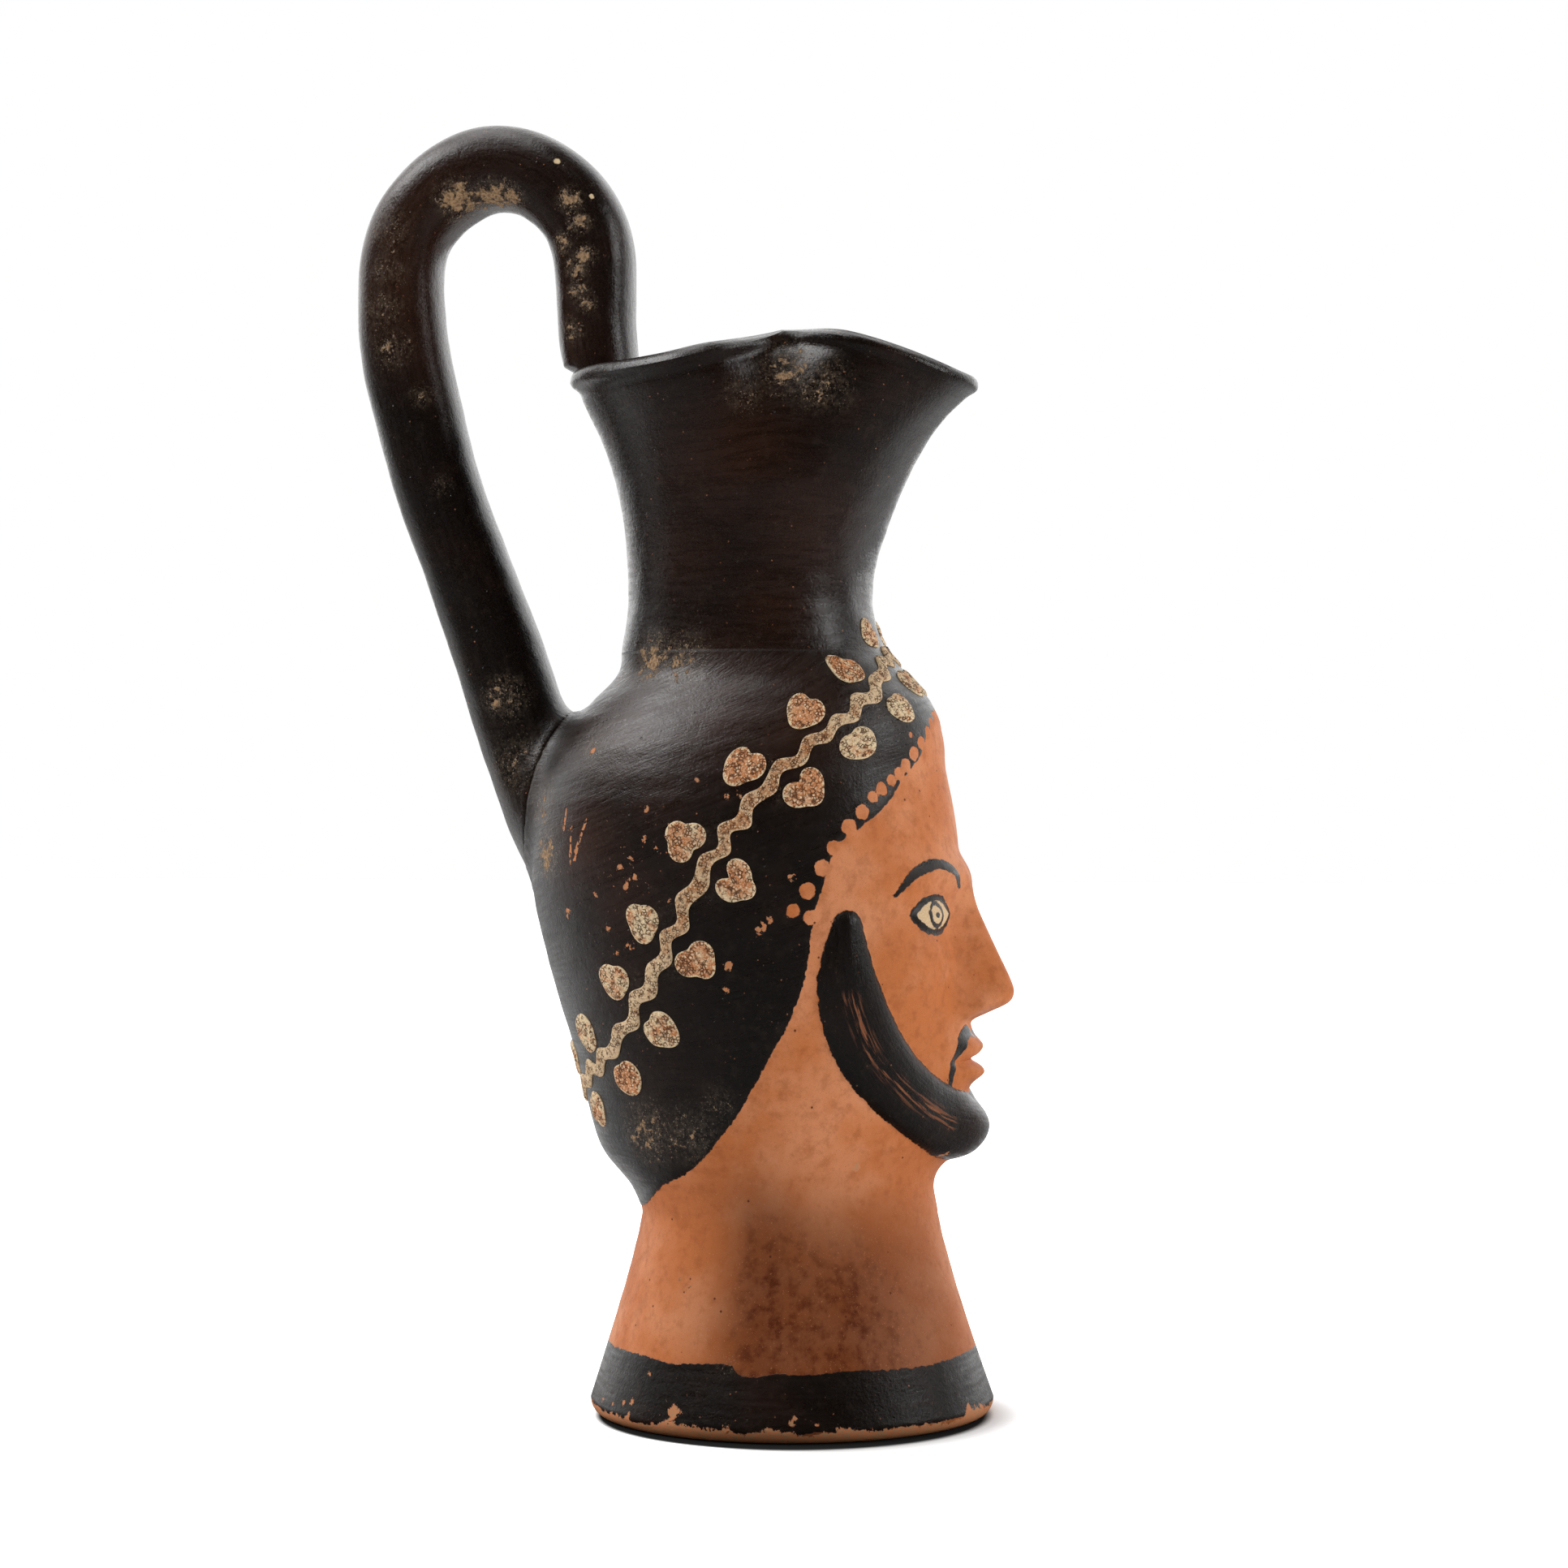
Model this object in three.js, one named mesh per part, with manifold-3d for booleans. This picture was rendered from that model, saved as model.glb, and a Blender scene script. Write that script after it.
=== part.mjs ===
// Greek head vase: a one-handled jug in the form of a bearded head, in fired and painted clay.
// Millimetres. +Z is up, the face looks along -Y, and the figure's left is +X.
// The origin is the centre of the foot's underside.
//
// Every piece lies on one skin. A place on it has an angle (0 in front, positive to the figure's
// left), a height, and an inset: how deep it lies in the wall, or how far out where it is negative.

import * as THREE from "three";
import { mergeVertices } from "three/addons/utils/BufferGeometryUtils.js";
import Module from "manifold-3d";

const wasm = await Module();
wasm.setup();

// Fit between the pieces
const GAP = 0.3;
const CUT_OVERRUN = 3;

// Walls and the half-lap joints between them
const WALL = 4;
const LIP_WALL = 3;
const LAP_LENGTH = 5;
const LAP_INSET = 2;

// Foot and throat, which is also the figure's neck
const FOOT_RADIUS = 32.2;
const FOOT_EDGE_HEIGHT = 2.2;
const FOOT_EDGE_ROUND = 1.8;
const THROAT_HEIGHT = 31.5;
const THROAT_RADIUS = 23.7;
const THROAT_SETBACK = 0.4;
const FOOT_FLARE_POWER = 1.15;
const FOOT_JOINT_HEIGHT = 34;
const FOOT_BAND_HEIGHT = 10.7;

// Floor disc in the foot's rebate
const FLOOR_THICKNESS = 4.5;
const FLOOR_RADIUS = 26.5;

// Head, with the face from its chin to the hair and the crown above that
const SKULL_FRONT = 27.4;
const SKULL_BACK = 42.3;
const SKULL_HALF_WIDTH = 30;
const CHIN_HEIGHT = 42;
const FACE_LENGTH = 63;
const CROWN_RISE = 16;
const CROWN_JOINT_HEIGHT = CHIN_HEIGHT + FACE_LENGTH + CROWN_RISE;
const SEAM_SETBACK = 6;

// Thrown neck and lip, which rise from the crown joint
const WAIST_RISE = 10;
const WAIST_HEIGHT = CROWN_JOINT_HEIGHT + WAIST_RISE;
const WAIST_FRONT = 12.7;
const WAIST_BACK = 26.3;
const WAIST_HALF_WIDTH = 19.2;
const NECK_LENGTH = 35;
const LIP_HEIGHT = WAIST_HEIGHT + NECK_LENGTH;
const LIP_FRONT = 30.6;
const LIP_BACK = 36.4;
const LIP_HALF_WIDTH = 26;
const FRONT_FLARE_POWER = 1.6;
const BACK_FLARE_POWER = 2.3;
const SIDE_FLARE_POWER = 2;

// The three-lobed lip: a pinch on each side, a peak at the pinch and a drop to the spout and the back
const PINCH_AHEAD = 0.5;
const PINCH_WIDTH = 7.5;
const PINCH_LENGTH = 20;
const PINCH_START_HEIGHT = LIP_HEIGHT - PINCH_LENGTH;
const PINCH_POWER = 1.5;
const PINCH_DEPTH_SHARE = 0.42;
const SPOUT_NARROWING_SHARE = 0.26;
const SPOUT_BLEND = 3;
const LIP_LIFT_LENGTH = 24;
const LIP_LIFT_START_HEIGHT = LIP_HEIGHT - LIP_LIFT_LENGTH;
const LIP_PEAK_RISE = 5.7;
const SPOUT_DROP = 8.8;
const SPOUT_DROP_POWER = 1.8;
const BACK_DROP = 6.4;
const BACK_DROP_POWER = 3;

// Face: heights run up from the chin, widths out from the middle, and rises are shares of the nose's
const FACE_HALF_WIDTH = 27;
const NOSE_RISE = 8.2;
const NOSE_HALF_WIDTH = 5.6;
const NOSE_ROUNDNESS = 2.3;
const JAW_TAPER_SHARE = 0.3;
const JAW_LENGTH = 34;
const BEARD_RISE = 1.5;
const BEARD_HALF_WIDTH = 6;
const FACE_ROWS_TOP_SHARE = 0.7;

// Handle
const HANDLE_RISE = 34;
const HANDLE_TOP = LIP_HEIGHT + HANDLE_RISE;
const HANDLE_BACK = 64.6;
const HANDLE_HALF_DEPTH = 6.9;
const HANDLE_HALF_WIDTH = 7.6;
const HANDLE_SQUARENESS = 2.4;

// Clay strips pressed over the joints from inside
const COIL_HALF_WIDTH = 3;
const COIL_THICKNESS = 1.8;

// Ivy wreath in thick slip
const SLIP_THICKNESS = 0.7;
const STEM_WIDTH = 2.25;
const STEM_WAVE = 0.7;
const STEM_PITCH = 6.2;
const LEAF_LENGTH = 5.3;
const LEAF_WIDTH = 6.4;
const LEAF_OFFSET = 5.2;
const UPPER_LEAF_DEGREES = -110;
const WREATH_BOTTOM = 50;
const WREATH_DROP = 0.5;
const WREATH_TOP = CROWN_JOINT_HEIGHT - WREATH_DROP;

// Counts of steps round and along
const HEAD_SIDES = 56;
const THROAT_ROWS = 3;
const FACE_ROWS = 22;
const CROWN_ROWS = 8;
const INNER_END_ROWS = 5;
const INNER_ROWS = 8;
const LAYER_ROWS = 22;
const FOOT_ROWS = 8;
const NECK_BEND_ROWS = 5;
const NECK_FLARE_ROWS = 7;
const NECK_INNER_ROWS = 9;
const COIL_ROWS = 4;
const BEARD_CURVE_STEPS = 28;
const RING_SIDES = 40;
const HANDLE_SIDES = 14;
const STEM_STEPS = 78;
const COIL_STEPS = 14;
const LEAF_CURVE_STEPS = 2;
const SOLVER_STEP = 0.01;
const FRONT_CROWDING_SHARE = 0.42;

// Head outline: height from throat to waist, then reach to the front, to the back and to the side
const headShares = [
  [0.045, 0.83, 0.605, 0.807],
  [0.07, 0.847, 0.652, 0.833],
  [0.095, 0.898, 0.704, 0.867],
  [0.126, 0.956, 0.74, 0.9],
  [0.186, 0.993, 0.78, 0.943],
  [0.252, 1.0, 0.823, 0.967],
  [0.383, 1.0, 0.913, 0.993],
  [0.514, 0.982, 0.983, 1.0],
  [0.638, 0.92, 1.0, 0.993],
  [0.709, 0.883, 0.957, 0.953],
  [0.769, 0.876, 0.875, 0.887],
  [0.819, 0.81, 0.762, 0.8],
  [0.869, 0.65, 0.655, 0.7],
  [0.905, 0.544, 0.645, 0.663],
  [0.96, 0.471, 0.624, 0.643],
];

// Soft forms of the face: side, height, half width, half height, rise
const faceFormShares = [
  [0, 0.84, 0.6, 0.16, 0.12],
  [0.28, 0.69, 0.28, 0.042, 0.15],
  [0.41, 0.6, 0.2, 0.052, -0.22],
  [0.42, 0.597, 0.14, 0.032, 0.17],
  [0.58, 0.45, 0.22, 0.1, 0.14],
  [0, 0.24, 0.42, 0.11, 0.3],
  [0, 0.262, 0.27, 0.02, 0.15],
  [0, 0.2265, 0.25, 0.0095, -0.15],
  [0, 0.195, 0.22, 0.021, 0.2],
  [0, 0.14, 0.2, 0.03, -0.1],
  [0, 0.06, 0.36, 0.07, 0.42],
];

// The nose from its base up to its root: height of the face, rise, half width
const noseShares = [
  [0.3, 0, 0.9],
  [0.325, 0.08, 0.98],
  [0.345, 0.42, 1.02],
  [0.37, 0.86, 1],
  [0.395, 1, 0.92],
  [0.43, 0.95, 0.82],
  [0.5, 0.71, 0.68],
  [0.58, 0.43, 0.58],
  [0.65, 0.24, 0.6],
  [0.71, 0.1, 0.75],
  [0.76, 0, 1],
];

// Middle line of the beard: angle as a share of a half turn, height of the face, half width
const beardShares = [
  [0.318, 0.575, 0.42],
  [0.33, 0.5, 0.72],
  [0.325, 0.4, 0.92],
  [0.285, 0.27, 1],
  [0.22, 0.16, 0.95],
  [0.12, 0.085, 0.9],
  [0, 0.06, 0.85],
];

// Middle line of the wreath: angle as a share of a half turn, height between its ends
const wreathShares = [
  [0, 1],
  [0.222, 0.914],
  [0.361, 0.785],
  [0.5, 0.541],
  [0.611, 0.295],
  [0.722, 0.138],
  [0.833, 0.06],
  [1, 0],
];

// Places of the leaves along the stem, above it and below it, as shares of a half turn
const upperLeafShares = [0.055, 0.216, 0.335, 0.415, 0.497, 0.575, 0.652, 0.775, 0.904];
const lowerLeafShares = [0.078, 0.206, 0.304, 0.39, 0.502, 0.577, 0.655, 0.739, 0.854];

// Handle's middle line: back from the axis and height, then the bar's depth and width
const handleShares = [
  [0.56, 0.43, 0.7, 0.8],
  [0.6, 0.465, 1, 1.25],
  [0.645, 0.51, 1.07, 1.16],
  [0.703, 0.563, 1.08, 1.04],
  [0.783, 0.64, 1.04, 1],
  [0.875, 0.715, 1, 1],
  [0.927, 0.769, 1.01, 1],
  [0.969, 0.822, 1.05, 1],
  [0.992, 0.861, 1.04, 1],
  [1, 0.91, 0.98, 1],
  [0.975, 0.948, 0.98, 1],
  [0.908, 0.977, 1, 1],
  [0.823, 0.995, 1.01, 1],
  [0.729, 1, 1.01, 1],
  [0.629, 0.99, 1, 1],
  [0.547, 0.966, 0.97, 1],
  [0.505, 0.937, 0.96, 1],
  [0.494, 0.905, 0.95, 1],
  [0.494, 0.875, 0.91, 1],
  [0.494, 0.855, 0.9, 1.02],
  [0.48, 0.835, 0.88, 1.05],
  [0.454, 0.81, 0.7, 1],
  [0.421, 0.78, 0.48, 0.85],
  [0.41, 0.755, 0.28, 0.55],
];

// Finishes
const blackGloss = new THREE.MeshStandardMaterial({ color: 0x1d1512, roughness: 0.3, metalness: 0 });
const bareClay = new THREE.MeshStandardMaterial({ color: 0xc47a4c, roughness: 0.7, metalness: 0 });
const creamSlip = new THREE.MeshStandardMaterial({ color: 0xd7be96, roughness: 0.85, metalness: 0 });

const clamp = (value) => Math.min(Math.max(value, 0), 1);
const smooth = (value) => clamp(value) ** 2 * (3 - 2 * clamp(value));

// A smooth curve through rows of [place, value, value, ...], level at both ends.
function curveThrough(rows) {
  const width = rows[0].length - 1;
  const curve = new THREE.CubicInterpolant(
    rows.map((row) => row[0]),
    rows.flatMap((row) => row.slice(1)),
    width,
    new Array(width),
  );
  curve.settings = { endingStart: THREE.ZeroSlopeEnding, endingEnd: THREE.ZeroSlopeEnding };
  const first = rows[0][0];
  const last = rows[rows.length - 1][0];
  return (place) => [...curve.evaluate(Math.min(Math.max(place, first), last))];
}

const headRows = [
  [THROAT_HEIGHT, THROAT_RADIUS - THROAT_SETBACK, THROAT_RADIUS + THROAT_SETBACK, THROAT_RADIUS],
  ...headShares.map(([height, front, back, side]) => [
    THROAT_HEIGHT + height * (WAIST_HEIGHT - THROAT_HEIGHT),
    front * SKULL_FRONT,
    back * SKULL_BACK,
    side * SKULL_HALF_WIDTH,
  ]),
  [WAIST_HEIGHT, WAIST_FRONT, WAIST_BACK, WAIST_HALF_WIDTH],
];
const headOutline = curveThrough(headRows);

// How far the skin reaches to the front, to the back and to the side at a height.
function reaches(height) {
  if (height < THROAT_HEIGHT) {
    const share = clamp((THROAT_HEIGHT - height) / (THROAT_HEIGHT - FOOT_EDGE_HEIGHT));
    const flare = share ** FOOT_FLARE_POWER;
    const radius = THREE.MathUtils.lerp(THROAT_RADIUS, FOOT_RADIUS, flare);
    const setback = THROAT_SETBACK * (1 - flare);
    return [radius - setback, radius + setback, radius];
  }
  if (height < WAIST_HEIGHT) return headOutline(height);
  const share = (height - WAIST_HEIGHT) / (LIP_HEIGHT - WAIST_HEIGHT);
  return [
    THREE.MathUtils.lerp(WAIST_FRONT, LIP_FRONT, share ** FRONT_FLARE_POWER),
    THREE.MathUtils.lerp(WAIST_BACK, LIP_BACK, share ** BACK_FLARE_POWER),
    THREE.MathUtils.lerp(WAIST_HALF_WIDTH, LIP_HALF_WIDTH, share ** SIDE_FLARE_POWER),
  ];
}

// How far the lip's edge lies above its stated height at a distance to the front of the axis.
function lipLift(forward) {
  const ahead = forward - PINCH_AHEAD;
  if (ahead > 0) {
    const share = ahead / (LIP_FRONT - PINCH_AHEAD);
    return LIP_PEAK_RISE - SPOUT_DROP * share ** SPOUT_DROP_POWER;
  }
  const share = clamp(-ahead / (LIP_BACK + PINCH_AHEAD));
  return LIP_PEAK_RISE - BACK_DROP * (1 - (1 - share) ** BACK_DROP_POWER);
}

// A point of the skin before the face is raised on it.
function bareSkin(angle, height) {
  const [front, back, side] = reaches(height);
  const forward = (front - back) / 2 + ((front + back) / 2) * Math.cos(angle);
  const risen = (height - PINCH_START_HEIGHT) / (LIP_HEIGHT - PINCH_START_HEIGHT);
  const pinch = clamp(risen) ** PINCH_POWER;
  const crease = Math.exp(-(((forward - PINCH_AHEAD) / PINCH_WIDTH) ** 2));
  const spout = 1 / (1 + Math.exp(-(forward - PINCH_AHEAD) / SPOUT_BLEND));
  const chin = smooth((height - THROAT_HEIGHT) / (CHIN_HEIGHT - THROAT_HEIGHT));
  const jaw = chin * (1 - smooth((height - CHIN_HEIGHT) / JAW_LENGTH)) * clamp(Math.cos(angle)) ** 2;
  const narrowing =
    (1 - PINCH_DEPTH_SHARE * pinch * crease) *
    (1 - SPOUT_NARROWING_SHARE * pinch * spout) *
    (1 - JAW_TAPER_SHARE * jaw);
  const lift = smooth((height - LIP_LIFT_START_HEIGHT) / (LIP_HEIGHT - LIP_LIFT_START_HEIGHT));
  return new THREE.Vector3(
    side * Math.sin(angle) * narrowing,
    -forward,
    height + lipLift(forward) * lift,
  );
}

// The way out of the wall, level at the foot so that the foot's underside stays flat.
function wayOut(angle, height) {
  const low = Math.max(height - SOLVER_STEP, 0);
  const round = bareSkin(angle + SOLVER_STEP, height).sub(bareSkin(angle - SOLVER_STEP, height));
  const up = bareSkin(angle, height + SOLVER_STEP).sub(bareSkin(angle, low));
  const normal = round.cross(up);
  normal.z *= smooth((height - FOOT_BAND_HEIGHT) / (THROAT_HEIGHT - FOOT_BAND_HEIGHT));
  return normal.normalize();
}

const noseOutline = curveThrough(noseShares);

// Rise of the nose: it grows from the root to the tip and turns in under it.
function noseRise(side, share) {
  const [rise, width] = noseOutline(share);
  const across = Math.abs(side) / (width * NOSE_HALF_WIDTH);
  return NOSE_RISE * rise * Math.exp(-(across ** NOSE_ROUNDNESS));
}

const beardPath = new THREE.CatmullRomCurve3(
  beardShares.map(
    ([turn, share, width]) =>
      new THREE.Vector3(
        turn * Math.PI * SKULL_HALF_WIDTH,
        CHIN_HEIGHT + share * FACE_LENGTH,
        width * BEARD_HALF_WIDTH,
      ),
  ),
).getPoints(BEARD_CURVE_STEPS);

// Rise of the beard: a rounded roll along its middle line.
function beardRise(angle, height) {
  const across = Math.abs(angle) * SKULL_HALF_WIDTH;
  const depth = Math.max(
    ...beardPath.map((p) => 1 - (Math.hypot(across - p.x, height - p.y) / p.z) ** 2),
  );
  return BEARD_RISE * Math.sqrt(clamp(depth));
}

// How far the face stands out of the bare skin.
function relief(angle, height) {
  if (Math.cos(angle) <= 0) return 0;
  const side = SKULL_HALF_WIDTH * Math.sin(angle);
  const share = (height - CHIN_HEIGHT) / FACE_LENGTH;
  let rise = noseRise(side, share) + beardRise(angle, height);
  for (const [out, up, halfWidth, halfHeight, form] of faceFormShares) {
    const x = (Math.abs(side) / FACE_HALF_WIDTH - out) / halfWidth;
    const z = (share - up) / halfHeight;
    rise += NOSE_RISE * form * Math.exp(-x * x - z * z);
  }
  return rise;
}

// A place in or on the wall. The face fades out through the wall's thickness.
function place(angle, height, inset) {
  const raised = relief(angle, height) * clamp(1 - inset / WALL);
  return bareSkin(angle, height).addScaledVector(wayOut(angle, height), raised - inset);
}

// A closed geometry with its shared vertices merged.
function welded(geometry) {
  geometry.deleteAttribute("normal");
  geometry.deleteAttribute("uv");
  return mergeVertices(geometry);
}

// Moves every vertex of a geometry by a rule.
function reshaped(geometry, rule) {
  const points = geometry.getAttribute("position");
  const point = new THREE.Vector3();
  for (let i = 0; i < points.count; i++) {
    point.fromBufferAttribute(points, i);
    const moved = rule(point);
    points.setXYZ(i, moved.x, moved.y, moved.z);
  }
  return geometry;
}

// Turns a wall section, a list of [inset, height], round the axis and presses it into the skin's form.
function turned(section, sides, crowding = 0) {
  const outline = [...section, section[0]];
  const points = outline.map(([inset, height]) => new THREE.Vector2(FOOT_RADIUS - inset, height));
  return reshaped(welded(new THREE.LatheGeometry(points, sides)), (p) => {
    const turn = Math.atan2(p.x, p.z);
    const inset = FOOT_RADIUS - Math.hypot(p.x, p.z);
    return place(turn - crowding * Math.sin(turn), p.y, inset);
  });
}

// A closed body through rings of points, with a fan over each end ring.
function lofted(rings) {
  const sides = rings[0].length;
  const corners = rings.flat();
  const index = [];
  for (let r = 0; r + 1 < rings.length; r++)
    for (let s = 0; s < sides; s++) {
      const a = r * sides + s;
      const b = r * sides + ((s + 1) % sides);
      index.push(a, b + sides, b, a, a + sides, b + sides);
    }
  for (const [ring, first, flip] of [
    [rings[0], 0, true],
    [rings[rings.length - 1], (rings.length - 1) * sides, false],
  ]) {
    const middle = corners.length;
    corners.push(ring.reduce((sum, p) => sum.add(p), new THREE.Vector3()).divideScalar(sides));
    for (let s = 0; s < sides; s++) {
      const a = first + s;
      const b = first + ((s + 1) % sides);
      index.push(...(flip ? [a, b, middle] : [b, a, middle]));
    }
  }
  return new THREE.BufferGeometry().setFromPoints(corners).setIndex(index);
}

// Joining and cutting

function solidOf(geometry) {
  return new wasm.Manifold(
    new wasm.Mesh({
      numProp: 3,
      vertProperties: new Float32Array(geometry.getAttribute("position").array),
      triVerts: new Uint32Array(geometry.index.array),
    }),
  );
}

function geometryOf(solid) {
  const mesh = solid.getMesh();
  return new THREE.BufferGeometry()
    .setAttribute("position", new THREE.BufferAttribute(mesh.vertProperties, 3))
    .setIndex(new THREE.BufferAttribute(mesh.triVerts, 1));
}

// The space behind a plane across the vase, at a distance in front of the axis, past every wall.
function behind(forward) {
  const reach = HANDLE_TOP;
  const box = new THREE.BoxGeometry(reach, reach, reach);
  return solidOf(welded(box.translate(0, reach / 2 - forward, reach / 2)));
}

// Heights of the rows of a section, evenly spread
function rows(from, to, count) {
  return Array.from({ length: count + 1 }, (_, i) => THREE.MathUtils.lerp(from, to, i / count));
}

// Section of the head's wall between the foot's joint and the crown's joint
function headSection() {
  const brow = CHIN_HEIGHT + FACE_ROWS_TOP_SHARE * FACE_LENGTH;
  const outer = [
    ...rows(FOOT_JOINT_HEIGHT + GAP, CHIN_HEIGHT, THROAT_ROWS),
    ...rows(CHIN_HEIGHT, brow, FACE_ROWS).slice(1),
    ...rows(brow, CROWN_JOINT_HEIGHT, CROWN_ROWS).slice(1),
  ];
  const top = CROWN_JOINT_HEIGHT - LAP_LENGTH;
  const bottom = FOOT_JOINT_HEIGHT + LAP_LENGTH + GAP;
  const lap = LAP_INSET - GAP / 2;
  const inner = [
    ...rows(top, top - 2 * LAP_LENGTH, INNER_END_ROWS),
    ...rows(top - 2 * LAP_LENGTH, bottom + 2 * LAP_LENGTH, INNER_ROWS).slice(1),
    ...rows(bottom + 2 * LAP_LENGTH, bottom, INNER_END_ROWS).slice(1),
  ];
  return [
    ...outer.map((height) => [0, height]),
    [lap, CROWN_JOINT_HEIGHT],
    [lap, top],
    ...inner.map((height) => [WALL, height]),
    [lap, bottom],
    [lap, FOOT_JOINT_HEIGHT + GAP],
  ];
}

// A layer of the head's wall, between two insets, taller than the head itself.
function headLayer(outer, inner) {
  const bottom = FOOT_JOINT_HEIGHT - CUT_OVERRUN;
  const heights = rows(bottom, CROWN_JOINT_HEIGHT + CUT_OVERRUN, LAYER_ROWS);
  const section = [
    ...heights.map((height) => [outer, height]),
    ...heights.reverse().map((height) => [inner, height]),
  ];
  return solidOf(turned(section, HEAD_SIDES, FRONT_CROWDING_SHARE));
}

const headWall = solidOf(turned(headSection(), HEAD_SIDES, FRONT_CROWDING_SHARE));
const seamFront = LAP_LENGTH / 2 - SEAM_SETBACK;
const seamBack = -LAP_LENGTH / 2 - SEAM_SETBACK;

// The front half laps over the rear half along the vertical seam.
function faceMould() {
  const overlap = headLayer(LAP_INSET - GAP / 2, WALL + CUT_OVERRUN);
  return geometryOf(
    headWall.subtract(behind(seamBack)).subtract(overlap.intersect(behind(seamFront))),
  );
}

function backMould() {
  const overlap = headLayer(-CUT_OVERRUN, LAP_INSET + GAP / 2);
  const tongue = headWall.intersect(behind(seamFront - GAP));
  return geometryOf(tongue.subtract(overlap.subtract(behind(seamBack - GAP))));
}

// Foot: the outer flare, a seat for the head above, and a rebate for the floor disc below
function footPedestal() {
  const outer = rows(FOOT_EDGE_HEIGHT, FOOT_JOINT_HEIGHT, FOOT_ROWS);
  const shoulder = FLOOR_THICKNESS + GAP;
  const rebateAt = (height) => reaches(height)[0] - FLOOR_RADIUS - GAP;
  const ledge = rebateAt(shoulder) + WALL;
  const tongue = FOOT_JOINT_HEIGHT + LAP_LENGTH;
  const inner = rows(tongue, FOOT_BAND_HEIGHT, INNER_END_ROWS);
  return turned(
    [
      [rebateAt(0), 0],
      [FOOT_EDGE_ROUND, 0],
      [FOOT_EDGE_ROUND / 4, FOOT_EDGE_HEIGHT / 4],
      ...outer.map((height) => [0, height]),
      [LAP_INSET + GAP / 2, FOOT_JOINT_HEIGHT],
      [LAP_INSET + GAP / 2, tongue],
      ...inner.map((height) => [WALL, height]),
      [ledge, shoulder + GAP],
      [ledge, shoulder],
      [rebateAt(shoulder), shoulder],
    ],
    RING_SIDES,
  );
}

function floorDisc() {
  const disc = new THREE.CylinderGeometry(FLOOR_RADIUS, FLOOR_RADIUS, FLOOR_THICKNESS, RING_SIDES);
  return welded(disc.rotateX(Math.PI / 2).translate(0, 0, FLOOR_THICKNESS / 2));
}

// Section of the thrown neck. It can be grown to leave room for a neighbour.
function neckSection(growth, outerInset) {
  const bottom = CROWN_JOINT_HEIGHT + GAP;
  const edge = LIP_HEIGHT - LIP_WALL / 4;
  const lap = LAP_INSET + GAP / 2;
  const outer = [
    ...rows(bottom, WAIST_HEIGHT, NECK_BEND_ROWS),
    ...rows(WAIST_HEIGHT, edge, NECK_FLARE_ROWS).slice(1),
  ];
  const inner = rows(bottom - LAP_LENGTH, edge, NECK_INNER_ROWS);
  const wallAt = (height) =>
    THREE.MathUtils.mapLinear(height, WAIST_HEIGHT, LIP_HEIGHT, WALL, LIP_WALL);
  return [
    [lap, bottom - LAP_LENGTH],
    [lap, bottom],
    ...outer.map((height) => [outerInset, height]),
    [LIP_WALL / 4, LIP_HEIGHT + growth],
    [(LIP_WALL * 3) / 4 + growth, LIP_HEIGHT + growth],
    ...inner.reverse().map((height) => [Math.min(wallAt(height), WALL) + growth, height]),
  ];
}

const spoutNeck = () => turned(neckSection(0, 0), RING_SIDES);

// Handle: a rolled bar from the back of the head, over and down inside the lip
function handle() {
  const line = new THREE.CatmullRomCurve3(
    handleShares.map(
      ([back, up]) => new THREE.Vector3(0, back * HANDLE_BACK, up * HANDLE_TOP),
    ),
  );
  const last = handleShares.length - 1;
  const corner = (value) => Math.sign(value) * Math.abs(value) ** (2 / HANDLE_SQUARENESS);
  const rings = handleShares.map(([, , depth, width], i) => {
    const middle = line.getPoint(i / last);
    const along = line.getTangent(i / last);
    const out = new THREE.Vector3(0, along.z, -along.y);
    return Array.from({ length: HANDLE_SIDES }, (_, s) => {
      const turn = (2 * Math.PI * s) / HANDLE_SIDES;
      return middle
        .clone()
        .addScaledVector(out, HANDLE_HALF_DEPTH * depth * corner(Math.cos(turn)))
        .setX(HANDLE_HALF_WIDTH * width * corner(Math.sin(turn)));
    });
  });
  const bar = solidOf(lofted(rings));
  const neck = solidOf(turned(neckSection(GAP, -3 * WALL), RING_SIDES));
  const skull = headLayer(-GAP, 4 * WALL);
  return geometryOf(bar.subtract(neck).subtract(skull));
}

// Clay strips inside

// A ring pressed over a level joint
function ringCoil(height) {
  const face = WALL + GAP;
  const bottom = height - COIL_HALF_WIDTH;
  return turned(
    [
      ...rows(bottom, bottom + 2 * COIL_HALF_WIDTH, COIL_ROWS).map((level) => [face, level]),
      [face + COIL_THICKNESS, height + COIL_HALF_WIDTH / 2],
      [face + COIL_THICKNESS, height - COIL_HALF_WIDTH / 2],
    ],
    RING_SIDES,
  );
}

const footCoilHeight = FOOT_JOINT_HEIGHT + LAP_LENGTH;
const neckCoilHeight = CROWN_JOINT_HEIGHT - LAP_LENGTH;

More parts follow.
